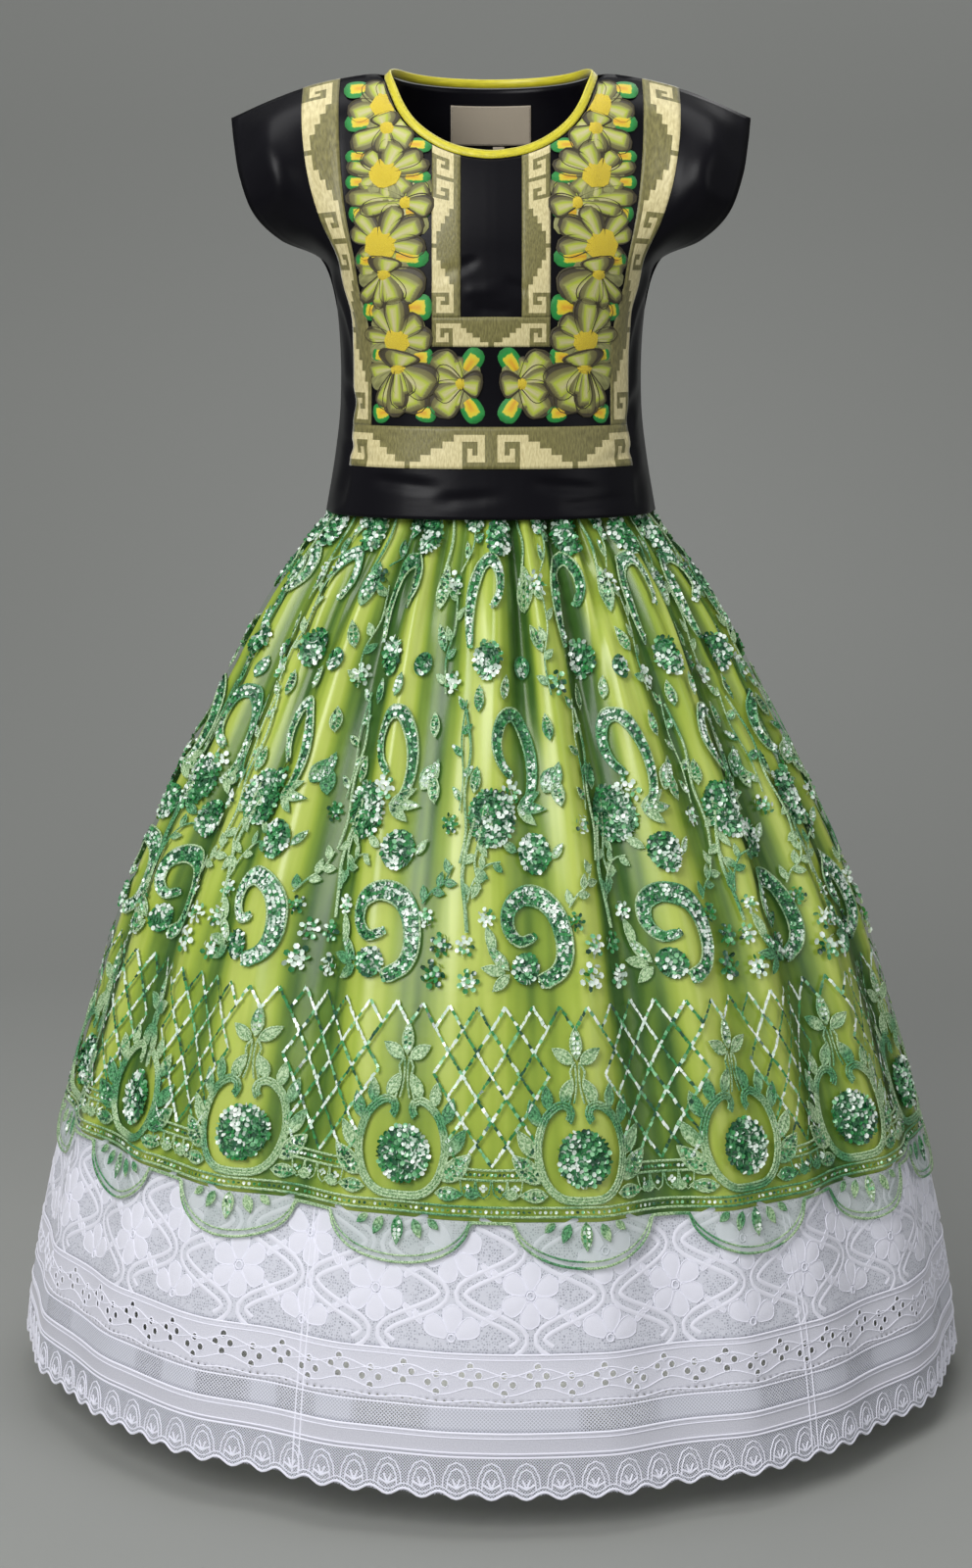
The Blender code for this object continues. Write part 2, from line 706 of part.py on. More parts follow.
def side_wall(bm, start, end, above):
    """Triangles from a plain lower edge up to the points above it."""
    for first, second in zip(above, above[1:]):
        bm.faces.new((start, first, second))
    bm.faces.new((start, end, above[-1]))


def petal_rise(point):
    """Raised petals and centres of the flowers, the upper flowers lying on the lower ones."""
    best = 0.0
    for x, z, radius, petals, turn in FLOWERS:
        dx, dz = abs(point.x) - x, point.z - z
        share = math.hypot(dx, dz) / radius
        if share < 1.0:
            angle = math.atan2(dz, dx) + math.radians(turn)
            petal = abs(math.cos(petals * angle / 2.0))
            height = PETAL_RISE * petal * math.sin(math.pi * min(share + PETAL_PEAK_SHIFT, 1.0))
            if share < CENTRE_SHARE:
                height = CENTRE_RISE
            best = max(best, height)
    return best


def make_blouse():
    front = Panel(FRONT_LINES, FRONT_LEVELS, FRONT_SHARES, True)
    back = Panel(BACK_LINES, BACK_LEVELS, BACK_SHARES, False)
    patch("blouse_front", front, front.all_cells(), -BLOUSE_WALL, 0.0, "black_satin")
    patch("blouse_back", back, back.all_cells(), -BLOUSE_WALL, 0.0, "black_satin")
    make_bands(front)
    make_binding(front, back)
    make_label(back)


def make_bands(front):
    low, high = PATCH_GAP, PATCH_GAP + BAND_THICKNESS
    for side, name in ((-1, "left"), (1, "right")):
        def cells(first_line, last_line, first_row, last_row, side=side):
            block = cells_between(first_line, last_line, first_row, last_row)
            return block if side > 0 else {(-j - 1, i) for j, i in block}

        patch("fret_band_outer_" + name, front,
              cells(LINE_FLOWER_OUT, LINE_OUTER_FRET, ROW_HEM_BAND_TOP, ROW_SHOULDER),
              low, high, "fret_thread")
        patch("fret_band_inner_" + name, front,
              cells(LINE_FRET_IN, LINE_FRET_OUT, ROW_BAR_TOP, ROW_SHOULDER), low, high, "fret_thread")
        flowers = cells(LINE_FRET_OUT, LINE_FLOWER_OUT, ROW_HEM_BAND_TOP, ROW_SHOULDER)
        flowers |= cells(LINE_FLOWER_GAP, LINE_FRET_OUT, ROW_HEM_BAND_TOP, ROW_BAR)
        patch("flower_band_" + name, front, flowers, low, low + FLOWER_BASE, "flower_thread",
              rows_each=3, rise=petal_rise)
    patch("fret_crossbar", front,
          cells_between(-LINE_FRET_OUT, LINE_FRET_OUT, ROW_BAR, ROW_BAR_TOP), low, high, "fret_thread")
    patch("fret_hem_band", front,
          cells_between(-LINE_OUTER_FRET, LINE_OUTER_FRET, ROW_HEM_BAND, ROW_HEM_BAND_TOP),
          low, high, "fret_thread")


def neck_edge(panel):
    """Grid places of a panel's neck edge, from one neck side to the other."""
    places = [j for j in range(-panel.side_lines, panel.side_lines + 1)
              if abs(panel.points[j, panel.rows - 1].x) <= NECK_HALF_WIDTH + NEAR_SEAM]
    return [(panel.points[j, panel.rows - 1], panel.normals[j, panel.rows - 1]) for j in places]


def make_binding(front, back):
    """The binding of the neck: a flat strip sewn round the edge of both panels."""
    loop = neck_edge(front) + neck_edge(back)[::-1][1:-1]
    section = (
        (BINDING_GAP, BINDING_PROUD),
        (BINDING_GAP + BINDING_WIDTH - BINDING_CHAMFER, BINDING_PROUD),
        (BINDING_GAP + BINDING_WIDTH, BINDING_PROUD - BINDING_CHAMFER),
        (BINDING_GAP + BINDING_WIDTH - BINDING_TAPER, BINDING_PROUD - BINDING_THICKNESS),
        (BINDING_GAP, BINDING_PROUD - BINDING_THICKNESS),
    )
    bm = bmesh.new()
    rings = []
    count = len(loop)
    for k, (point, normal) in enumerate(loop):
        place = point.copy()
        at_shoulder = abs(point.y) < NEAR_SEAM
        if at_shoulder:
            place = Vector((point.x - math.copysign(SHOULDER_EASE, point.x), 0.0, point.z))
        tangent = (loop[(k + 1) % count][0] - loop[k - 1][0]).normalized()
        inward = normal.cross(tangent).normalized()
        if inward.dot(Vector((-place.x, -place.y, NECK_CENTRE_RISE))) < 0.0:
            inward.negate()
        up = tangent.cross(inward).normalized()
        if up.dot(normal) < 0.0:
            up.negate()
        rings.append([bm.verts.new(place + inward * across + up * out) for across, out in section])
    sides = len(section)
    for k in range(count):
        n = (k + 1) % count
        for corner in range(sides):
            after = (corner + 1) % sides
            add_quad(bm, rings[k][corner], rings[k][after], rings[n][after], rings[n][corner])
    return make_object("neck_binding", bm, "yellow_binding")


def make_label(back):
    inside = -(BLOUSE_WALL + PATCH_GAP)
    cells = cells_between(-LABEL_LINES, LABEL_LINES, *LABEL_ROWS)
    patch("neck_label", back, cells, inside - LABEL_THICKNESS, inside, "label_cloth")
    make_size_tab(back)


def make_size_tab(back):
    """A small folded tab under the label."""
    row = LABEL_ROWS[0]
    line_width = BACK_LINES[1][0]
    row_height = back.points[0, row].z - back.points[0, row - 1].z
    gap = TAB_CLEARANCE / row_height
    bm = bmesh.new()
    corners = []
    for out in (-(BLOUSE_WALL + TAB_CLEARANCE), -(BLOUSE_WALL + TAB_CLEARANCE + TAB_THICKNESS)):
        ring = []
        for side, drop in ((-1, gap), (1, gap), (1, gap + TAB_HEIGHT / row_height),
                           (-1, gap + TAB_HEIGHT / row_height)):
            line = (TAB_CENTRE_X + side * TAB_HALF_WIDTH) / line_width
            ring.append(bm.verts.new(back.at(line, row - drop, out)))
        corners.append(ring)
    near, far = corners
    add_quad(bm, *near)
    add_quad(bm, *far)
    for k in range(4):
        n = (k + 1) % 4
        add_quad(bm, near[k], near[n], far[n], far[k])
    return make_object("size_tab", bm, "label_cloth", smooth=False)


def main():
    clear_scene()
    make_skirt()
    make_waistband()
    make_flounce()
    make_blouse()


main()
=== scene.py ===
"""The looks of a worn set: an embroidered black satin blouse over a sequinned green skirt.

Lengths are millimetres until a mesh is made. The origin is the centre of the waist, the front faces
-Y, and angles round the skirt, in degrees, start at the front centre and grow towards +X.
"""
import math

import bpy
import numpy as np
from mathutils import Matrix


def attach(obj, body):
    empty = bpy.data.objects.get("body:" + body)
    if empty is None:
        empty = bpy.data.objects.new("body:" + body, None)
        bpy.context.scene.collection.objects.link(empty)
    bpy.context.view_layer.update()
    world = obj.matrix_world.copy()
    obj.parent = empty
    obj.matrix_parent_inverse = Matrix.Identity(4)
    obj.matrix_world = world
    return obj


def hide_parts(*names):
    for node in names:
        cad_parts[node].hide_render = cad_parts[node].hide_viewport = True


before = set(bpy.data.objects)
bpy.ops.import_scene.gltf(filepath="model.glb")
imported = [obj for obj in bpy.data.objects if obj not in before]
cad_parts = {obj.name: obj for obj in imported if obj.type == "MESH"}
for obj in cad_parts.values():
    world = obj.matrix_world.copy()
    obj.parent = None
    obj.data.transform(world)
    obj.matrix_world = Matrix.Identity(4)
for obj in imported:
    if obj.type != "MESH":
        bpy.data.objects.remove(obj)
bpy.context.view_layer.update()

MM = 0.001
RNG = np.random.default_rng(7)

# The skirt and flounce as level sections. Columns: z, half_width, half_depth, fold_depth.
SKIRT_SECTIONS = (
    (-17.5, 129, 101, 1.5), (-60, 143, 111, 3), (-97, 160.5, 120.2, 4.5), (-125, 183, 140, 8),
    (-180, 223, 173, 13), (-266, 270, 213, 18), (-368, 322, 257, 22), (-480, 373, 303, 22),
    (-600, 411, 342, 19), (-715, 444, 371, 14), (-790, 463, 399, 11), (-875, 480, 428, 9),
    (-960, 491, 456, 8),
)

# Troughs of the main folds.
# Columns: angle at the top, drift towards the hem, depth, half width in degrees, share left at the hem.
SKIRT_FOLDS = (
    (-78, 1, 0.80, 7, 0.7), (-60, 1, 1.00, 8, 0.8), (-44, -2, 0.75, 7, 0.5), (-28, 2, 1.15, 8, 0.9),
    (-12, -1, 0.60, 7, 0.5), (7, 1, 0.90, 6.5, 0.1), (21, 1, 1.20, 7.5, 1), (38, 0, 0.80, 7.5, 0.5),
    (60, -9, 1.10, 8, 1), (76, -2, 0.80, 7, 0.8), (93, 2, 0.90, 8, 0.7), (110, -1, 0.70, 7, 0.6),
    (125, 2, 1.10, 8, 0.9), (141, -2, 0.80, 7, 0.4), (156, 1, 1.00, 8, 0.8), (172, 2, 0.75, 7, 0.6),
    (187, -1, 1.15, 8, 0.9), (203, 2, 0.70, 7, 0.3), (219, -2, 1.00, 8, 0.8), (235, 1, 0.85, 7.5, 0.7),
    (250, 1, 1.05, 7.5, 0.6), (266, -2, 0.80, 7.5, 0.8),
)

# Creases of the gathers on the front; the back has similar ones.
# Columns: angle at the top, drift to the lower end, upper z, lower z, depth in mm, half width in degrees.
SKIRT_CREASES = (
    (67, -2, -90, -800, 7, 3.2), (-29, 0, -55, -330, 5, 1.8), (9.5, -4, -55, -380, 5, 1.8),
    (31, -9, -55, -420, 5, 1.9), (-84, 2, -60, -330, 4, 2.4), (-72, 3, -60, -420, 4.5, 2.4),
    (-66, 2, -110, -640, -3, 2.8), (-53, 4, -60, -360, 5, 2.2), (-49, 2, -120, -520, -3.5, 2.6),
    (-38, -3, -60, -300, 5.5, 2.2), (-33, 1, -150, -600, 3, 2.8), (-24, 2, -60, -280, 6, 2),
    (-19, -1, -90, -480, -3, 2.4), (-15, -1, -60, -240, 4.5, 1.9), (-9, 1, -60, -330, 4, 2),
    (-3, 0, -60, -230, 4, 2), (2, -1, -100, -420, -3, 2.4), (6.5, 1, -60, -300, 7, 1.9),
    (11, 1, -70, -420, -3, 2.2), (15, 0, -60, -210, 4, 1.9), (20, 1.5, -60, -420, 7, 2.1),
    (25.5, 2, -60, -280, -3.5, 2.2), (30.5, 1, -60, -330, 4.5, 2.1), (34, 2, -120, -560, -3, 2.6),
    (43, -2, -60, -300, 5, 2.2), (48, 2, -120, -620, 3.5, 2.8), (55, -5, -60, -480, 5.5, 2.4),
    (66, -3, -60, -400, 4.5, 2.2), (71, 2, -150, -640, -3, 2.8), (82, -1, -60, -360, 4.5, 2.4),
)
CREASE_SCALE = 1.3
CREASE_START = 0.12
CREASE_SPREAD = 0.8

SKIRT_TOP = -17.8
SATIN_HEM = -715
SATIN_HEM_TILT = -13
WHITE_HEM = -949
WHITE_HEM_TILT = -7
SKIRT_HEIGHT = SKIRT_TOP - SATIN_HEM
NET_WALL = 1.4
NET_TO_SATIN = 2.6
UNDER_NET = -(NET_WALL + NET_TO_SATIN)
SATIN_THICKNESS = 1.1
WAISTBAND_HALF_HEIGHT = 17.4
WAISTBAND_THICKNESS = 2.2
# Columns round each ring of cloth.
SATIN_COLUMNS, NET_COLUMNS, EDGE_COLUMNS, WAISTBAND_COLUMNS = 372, 384, 768, 288
LACE_THICKNESS = 1
SCALLOPS = 16
REPEAT = 360 / SCALLOPS
SCALLOP_HALF_WIDTH = 56
SCALLOP_DROP = 38
NET_HEM_EXTRA = 3
LACE_SHARES = (0, 0.475)
EYELET_SHARES = (0.475, 0.665)
INSERTION_SHARES = (0.665, 0.76)
RIBBON_SHARES = (0.76, 0.845)
EDGE_SHARES = (0.845, 1)
EDGE_SCALLOPS = 96
EDGE_SCALLOP_DROP = 6
FLOUNCE_DROP = 234
FLOUNCE_MM_A_DEGREE = 7.95
UV_RADIUS = 440
EYELET_REPEATS = 96
EYELET_RADIUS = 3
EYELET_RIM = 3.5
LOW_HOLE_RADIUS = 1.2
LACE_LINES = 40
LACE_WAVE = 28
LACE_ROW_DROP = 37
LACE_FLOWER_DROP = 62
# See-through places of the net insertion: angle and half width in degrees.
NET_WINDOWS = (
    (-43, 2.6), (-32, 4), (-22.5, 3.2), (-11.3, 5), (14.4, 5.5), (35.4, 4.6), (48.6, 3.6), (71, 4.4),
    (88, 3), (109, 5), (131, 3.6), (152, 4.8), (171, 3.2), (-168, 4.6), (-147, 3.4), (-126, 5), (-107, 3),
    (-88, 4.6), (-65, 4),
)
FLOUNCE_SEAMS = ((-22, 6), (39, 7), (158, 6), (-139, 6))
# Cords right round the flounce. Columns: drop, swing of its wave, width.
FLOUNCE_LINES = (
    (112, 0, 2.2), (116.5, 0, 1.4), (157.5, 0, 1.6), (178.5, 0, 2.4), (182.5, 0, 1.4), (195, 0, 1.6),
    (198.5, 0, 2.2), (127, 3.4, 1.3), (143, 3.4, 1.3), (131, -2.5, 1), (152, 1.2, 1.5),
)
FAN_ARCH = ((-12, 8), (-11, 17), (-6.5, 26), (0, 29), (6.5, 26), (11, 17), (12, 8))
# How far sewn work lies off the cloth at its foot.
LOW = 0.1

# The blouse below the arms. Columns: z, half_width, front_depth, back_depth.
BLOUSE_SECTIONS = (
    (-97, 165, 124, 124), (-49, 156.5, 117, 114), (-9, 151, 113, 106), (30, 149, 113, 102),
    (67, 149.5, 117, 103), (95, 151.5, 120, 106), (122, 155, 120, 108), (150, 168, 117, 108),
)
UNDERARM = 150
SECTION_POWER = 2.5

# The sleeve edge. Columns: share of the way up from the underarm, x, z.
SLEEVE_EDGE = (
    (0, 168, 150), (0.10, 187, 161), (0.22, 204, 167), (0.45, 229, 192), (0.68, 243, 228), (0.86, 250, 262),
    (1, 254, 285),
)
SLEEVE_HALF_DEPTH = 56
SLEEVE_FROM_X = 140
SHOULDER_POWER = 1.6
SHOULDER_ROOT = 0.55
NECK_HALF_WIDTH = 103
NECK_SIDE_Z = 329
NECK_FRONT_DROP = 87
NECK_BACK_DROP = 11
BACK_NECK_LEAN = 0.18
SHOULDER_TIP_X = 254
SHOULDER_TIP_Z = 285
SHOULDER_CROWN = 8
CHEST_LEVEL = 67
WAIST_HALF_WIDTH = 150
UPPER_SPREAD = 2.5
SATIN_PANEL_THICKNESS = 1.2
BAND_THICKNESS = 1
SEAM_HALF_GAP = 0.15

# Upright lines of the panels. Columns: x below the chest, x at the underarm, x at the top.
FRONT_LINES = (
    (0, 0, 0), (6, 6, 6), (29, 29, 29), (43, 43, 43), (56, 56, 56), (68, 70, 73), (80, 83, 87.5),
    (88, 92, 97), (95, 99, 102), (101, 106, 103), (107, 117, 125), (115, 131, 147), (124, 139, 165),
    (133, 147, 183), (143, 157, 218),
)
BACK_LINES = (
    (0, 0, 0), (20.5, 20.5, 20.5), (41, 41, 41), (58, 58, 58), (74, 76, 77), (86, 90, 93), (92, 97, 100),
    (99, 106, 103), (112, 125, 143), (130, 145, 183), (143, 158, 218),
)
FRONT_LEVELS = (-97, -49, -9, 30, 67, 95, 122, 150)
BACK_LEVELS = (-97, -49, 0, 50, 100, 150)
FRONT_SHARES = (0.22, 0.45, 0.68, 0.86, 1)
BACK_SHARES = (0.25, 0.48, 0.67, 0.886, 1)
SIDE_PLACE = 152
UPPER_SPAN = 150
# The highest place of sewn work, just below the top edge.
TOP_PLACE = 298.6

# Creases of the blouse. A place is (across, up) on the panel: across is x below the
# chest, and up is z to the underarm and then a share of 150 mm to the top edge.
# Columns: from place, to place, depth in mm (a ridge is negative), half width in mm.
FRONT_CREASES = (
    ((-8, 150), (-60, 128), 2, 9), ((10, 128), (46, 116), 1.8, 8), ((-20, 104), (24, 99), 1.8, 8),
    ((-30, 118), (14, 121), -1.4, 9), ((-140, 150), (-128, 60), 3, 7), ((-146, 120), (-136, 20), 2.6, 6),
    ((-148, 40), (-120, -12), 2.8, 8), ((-150, -20), (-100, -52), 2.4, 8),
    ((-143, 172), (-150, 262), 4.5, 9), ((-141, 160), (-139, 240), 3.5, 7),
    ((-149, 170), (-146, 230), -3, 7), ((140, 150), (129, 70), 3, 7), ((146, 128), (135, 10), 2.6, 6),
    ((148, 30), (124, -30), 2.8, 8), ((150, -30), (90, -50), 2.2, 8), ((143, 170), (149, 268), 4.5, 9),
    ((141, 160), (138, 236), 3.5, 7), ((149, 176), (147, 236), -3, 7), ((-120, -60), (-40, -68), 2.2, 9),
    ((-60, -80), (20, -74), 1.8, 9), ((30, -62), (120, -72), 2.2, 9), ((60, -84), (140, -78), 1.8, 8),
    ((-142, -96), (-136, -50), 2.6, 8), ((138, -96), (141, -46), 2.6, 8),
)
BACK_CREASES = (
    ((-60, 210), (50, 196), 2.4, 11), ((-90, 150), (-10, 128), 2.4, 11), ((20, 140), (96, 158), 2.2, 10),
    ((-70, 96), (60, 84), 2.2, 11), ((-110, 40), (-20, 26), 2.4, 11), ((30, 34), (112, 48), 2.4, 10),
    ((-130, -10), (-50, -34), 2.4, 10), ((44, -20), (128, -44), 2.2, 10), ((-70, -66), (74, -60), 2, 9),
    ((-140, 150), (-128, 50), 3, 8), ((141, 150), (130, 44), 3, 8), ((-143, 172), (-149, 262), 4.5, 9),
    ((143, 170), (149, 266), 4.5, 9), ((-139, 160), (-135, 236), 3.2, 8), ((139, 160), (134, 232), 3.2, 8),
    ((-128, -96), (-120, -50), 2.4, 8), ((30, -96), (34, -56), 2, 9), ((126, -96), (122, -52), 2.4, 8),
)

# The binding's cross-section, as places in from the neck's edge and off the satin.
BINDING_SECTION = ((0.9, 0.1), (2, 0.8), (5, 0.95), (8, 0.75), (9.6, -0.1), (9.2, -1.1), (5.2, -1.6),
                   (1, -1.5))

# The label, and the folded tab below it as places up the back and how far each lies behind the first.
LABEL_HALF, LABEL_LOW, LABEL_HIGH, LABEL_SEAM = 41, 250.7, 285.3, 1.4
LABEL_THICKNESS, TAB_THICKNESS = 1, 0.35
TAB_FOLD = ((249.8, 0), (247.4, 0), (245.6, 0.05), (245, 0.3), (245, 0.75), (245.6, 0.95), (247.4, 1),
            (249.8, 1))
STITCH_SPACING = 2.6

# Embroidered flowers of the front, on the -X side; the other side mirrors them.
# Columns: x, z, radius of the yellow centre, and petals as (direction from upright towards the
# centre front in degrees, length, width, curl in degrees), the last lying on top.
FLOWERS = (
    (-29, 32, 5, ((-44, 38, 25, 15), (-138, 38, 25, -15), (-64, 27, 18, 0), (-114, 27, 18, 0),
     (90, 20, 21, 0))),
    (-88, 46, 6.5, ((-160, 42, 18, 12), (152, 46, 25, 0), (-172, 46, 19, 0), (118, 40, 29, 10),
     (160, 27, 18, 0), (178, 38, 14, 5), (4, 17, 32, 0))),
    (-89, 73, 11, ((-76, 32, 12, -20), (-33, 41, 15, -10), (85, 33, 19, 25), (42, 31, 17, 20),
     (0, 40, 19, 0))),
    (-101, 135, 5.5, ((-142, 34, 12, 12), (114, 40, 28, 10), (-170, 33, 11, 4), (154, 30, 21, 0),
     (2, 16, 26, 0))),
    (-104, 163, 14, ((-118, 24, 10, 0), (-34, 40, 16, -15), (92, 42, 17, 30), (58, 45, 18, 25),
     (20, 40, 17, 20))),
    (-81, 201, 5, ((48, 27, 17, 40), (-78, 58, 16, -30), (-96, 44, 13, -20), (96, 26, 18, 30))),
    (-100, 229, 13, ((-82, 38, 12, 20), (82, 42, 12, -20), (-48, 28, 16, 15), (58, 39, 14, 25),
     (15, 31, 20, 20))),
    (-99, 271, 6, ((-122, 38, 19, 35), (128, 28, 21, -20), (-168, 24, 18, 0), (-6, 15, 24, 0))),
    (-103, 292, 11, ((-98, 34, 18, -30), (-34, 28, 18, 20), (6, 24, 15, -10))),
)

# Leaves beside the flowers. Columns: x, z, direction, length, width.
LEAVES = (
    (-130, 309, -95, 24, 17), (-127, 277, -95, 26, 17), (-128, 245, -92, 22, 13), (-129, 221, -90, 20, 14),
    (-126, 192, -100, 20, 17), (-120, 148, -80, 18, 17), (-115, 101, -80, 16, 20), (-106, 59, -80, 16, 19),
    (-106, 3, -100, 15, 19), (-68, 255, 92, 24, 14), (-70, 225, 90, 26, 13), (-70, 194, 78, 26, 18),
    (-76, 151, 92, 34, 20), (-67, 104, 88, 22, 25), (-65, 57, 92, 20, 19), (-62, 4, 92, 20, 18),
    (-18, 54, 34, 26, 20), (-18, 7, 150, 26, 21),
)
PETAL_SPREAD = 1.2
UNDER_PETALS = 11
# Outlines. Columns: share of the length, share of the width.
PETAL_OUTLINE = ((0, 0.42), (0.2, 0.66), (0.5, 0.95), (0.72, 1), (0.88, 0.82), (0.96, 0.55), (1, 0.24))
LEAF_OUTLINE = ((0, 0.55), (0.2, 0.86), (0.5, 1), (0.8, 0.9), (0.93, 0.66), (1, 0.3))
NET_LEAF_OUTLINE = ((0, 0), (0.2, 0.64), (0.45, 1), (0.7, 0.84), (1, 0))

# Stepped frets, as rows from an end line to the peak of a step pyramid: the cells of each row from
# the outer side in, o for olive and c for cream, and the row's size in cells.
FRET_HALF = (
    ("ooooo", 1), ("occcc", 2), ("ocooc", 1), ("occoc", 1), ("ooooc", 1), ("ccccc", 2), ("cccco", 2),
    ("cccoo", 2), ("ccooo", 2), ("coooo", 3), ("ooooo", 1),
)
FRET_HOOK = (("occcc", 2), ("ocooc", 1), ("occoc", 1), ("ooooc", 1), ("ccccc", 2))
BAR_HALF = (
    ("ooooo", 1), ("occcc", 1), ("ocooc", 1), ("occoc", 1), ("ooooc", 1), ("ccccc", 2), ("cccco", 1.3),
    ("cccoo", 1.5), ("ccooo", 1.8), ("coooo", 2), ("ooooo", 0.7),
)
HEM_HALF = (
    ("ooooo", 6), ("occcc", 7), ("ocooc", 5), ("occoc", 5), ("ooooc", 5), ("ccccc", 8), ("cccco", 11),
    ("cccoo", 11), ("ccooo", 10), ("coooo", 10), ("ooooo", 5), ("coooo", 9), ("ccooo", 8), ("cccoo", 7),
    ("cccco", 7), ("ccccc", 5), ("ooooc", 3.5), ("occoc", 3.5), ("ocooc", 3.5), ("occcc", 5),
)

# The net's embroidery, in mm about the middle of each motif.
SQUEEZE_RADIUS = 408
FRAME_HALF = ((0, 0), (20, 2), (34, 14), (41, 34), (41, 52), (34, 72), (20, 84),
              (10, 82), (9, 73), (14, 68))
FRAME_LEAVES = (
    (41, 16, 46, 34, 18, True), (45, 38, 32, 29, 12, False), (41, 66, 16, 24, 11, False),
    (30, 80, 4, 22, 10, False), (17, 87, -30, 24, 11, False), (3, 121, 58, 24, 11, False),
)
PAISLEY_LOW = ((2, -39), (21, -30), (29, -12), (25, 14), (11, 31), (-11, 36), (-28, 25),
               (-29, 7), (-17, -4), (-2, 1))
PAISLEY_LOW_WIDTH = ((0, 12), (0.2, 16), (0.5, 18), (0.75, 13), (1, 6))
PAISLEY_MIDDLE = ((8, -52), (20, -34), (23, -10), (17, 14), (3, 34), (-12, 30), (-19, 10),
                  (-14, -8), (-3, -20))
PAISLEY_HIGH = ((-19, -40), (-21, -12), (-17, 14), (-6, 34), (9, 38), (20, 24), (19, 6),
                (10, -4))
PAISLEY_THIN_WIDTH = ((0, 5), (0.25, 11), (0.6, 12), (1, 6))

LONG_SEQUIN = np.array(((-1.3, -2.3), (1.3, -2.3), (1.3, 2.3), (-1.3, 2.3)))
LATTICE_TURN = 0.6
# Shades of the sequins: mint white, mint, emerald, dark green. Shares of each in each kind of work.
PALE_WORK = (0.66, 0.16, 0.12, 0.06)
GREEN_WORK = (0.05, 0.15, 0.50, 0.30)
MIXED_WORK = (0.42, 0.16, 0.24, 0.18)


# Metres, watts and degrees.
CAMERA_PLACE, CAMERA_TILT, CAMERA_LENS = (-0.0049, -2.8, 0.135), 10.36, 64.04
# Columns: name, place, target, size, power, spread.
LIGHTS = (
    ("key", (-1.5, -2.6, 1.7), (0, 0, -0.35), (1.6, 2.2), 92),
    ("fill", (2.3, -2, 0.9), (0, 0, -0.4), (1.4, 2.2), 11),
    ("top", (0, 0.2, 2.6), (0, 0, 0), (2.6, 1.6), 30),
    ("inside", (0, 0, -0.5), (0, 0.001, -0.9), (0.3, 0.2), 0.8, 75),
    ("back", (0.6, 3, 1.3), (0, 0.6, -0.2), (2, 2), 24),
)


# Curves and surfaces.

def read_table(rows, at):
    """A smooth curve through a table's rows, read at values of the first column."""
    table = np.asarray(rows, float)
    table = table[np.argsort(table[:, 0])]
    key, values = table[:, 0], table[:, 1:]
    at = np.clip(np.asarray(at, float), key[0], key[-1])
    k = np.clip(np.searchsorted(key, at, side="left") - 1, 0, len(key) - 2)
    before, after = np.maximum(k - 1, 0), np.minimum(k + 2, len(key) - 1)
    step = key[k + 1] - key[k]
    t = ((at - key[k]) / step)[..., None]
    start = (values[k + 1] - values[before]) * (step / (key[k + 1] - key[before]))[..., None]
    end = (values[after] - values[k]) * (step / (key[after] - key[k]))[..., None]
    return ((2 * t**3 - 3 * t**2 + 1) * values[k] + (t**3 - 2 * t**2 + t) * start
            + (3 * t**2 - 2 * t**3) * values[k + 1] + (t**3 - t**2) * end)


def blend(t):
    t = np.clip(t, 0, 1)
    return t * t * (3 - 2 * t)


def wrapped(angle):
    return (angle + 180) % 360 - 180


def bump(share):
    """A smooth hump, 1 at 0 and 0 from 1 on."""
    return np.clip(1 - share * share, 0, 1) ** 2


def unit(vectors):
    return vectors / np.maximum(np.linalg.norm(vectors, axis=-1, keepdims=True), 1e-9)


def fold_dip(angle, z):
    down = blend((SKIRT_TOP - z) / SKIRT_HEIGHT)
    dip = np.zeros(np.broadcast(angle, z).shape)
    for at, drift, depth, half_width, left in SKIRT_FOLDS:
        share = wrapped(angle - at - drift * down) / (half_width * (1 + 0.25 * down))
        dip = dip + depth * (1 + (left - 1) * down) * bump(share)
    return dip


def hidden_creases():
    """The back's creases: the front's, turned half round, with other lengths and depths."""
    rows = []
    for k, (at, drift, high, low, depth, half_width) in enumerate(SKIRT_CREASES):
        other = SKIRT_CREASES[(k + 5) % len(SKIRT_CREASES)]
        rows.append((180 - at * 0.97, -drift, high, 0.5 * (low + other[3]), depth, half_width))
    return tuple(rows)


ALL_CREASES = SKIRT_CREASES + hidden_creases()


def crease_dip(angle, z):
    dip = np.zeros(np.broadcast(angle, z).shape)
    for at, drift, high, low, depth, half_width in ALL_CREASES:
        along = (high - z) / (high - low)
        share = wrapped(angle - at - drift * along) / (half_width * (1 + CREASE_SPREAD * along))
        fade = blend(along / CREASE_START) * (1 - blend((along - 0.35) / 0.65))
        dip = dip + CREASE_SCALE * depth * fade * bump(share)
    return dip


def skirt_surface(angle, z, folds=1):
    angle, z = np.broadcast_arrays(np.asarray(angle, float), np.asarray(z, float))
    section = read_table(SKIRT_SECTIONS, z)
    dip = section[..., 2] * fold_dip(angle, z) * folds if folds else 0
    turn = np.radians(angle)
    return np.stack([(section[..., 0] - dip) * np.sin(turn), -(section[..., 1] - dip) * np.cos(turn), z], -1)


def skirt_normal(angle, z):
    """Outward from the section without its folds, so that layers stay parallel."""
    across = skirt_surface(angle + 1.5, z, 0) - skirt_surface(angle - 1.5, z, 0)
    along = skirt_surface(angle, z + 4, 0) - skirt_surface(angle, z - 4, 0)
    return unit(np.cross(across, along))


def cloth_point(angle, z, out):
    """A point over the net's surface, creases and all."""
    angle, z = np.broadcast_arrays(np.asarray(angle, float), np.asarray(z, float))
    away = np.asarray(out, float) - crease_dip(angle, z)
    return skirt_surface(angle, z) + skirt_normal(angle, z) * away[..., None]


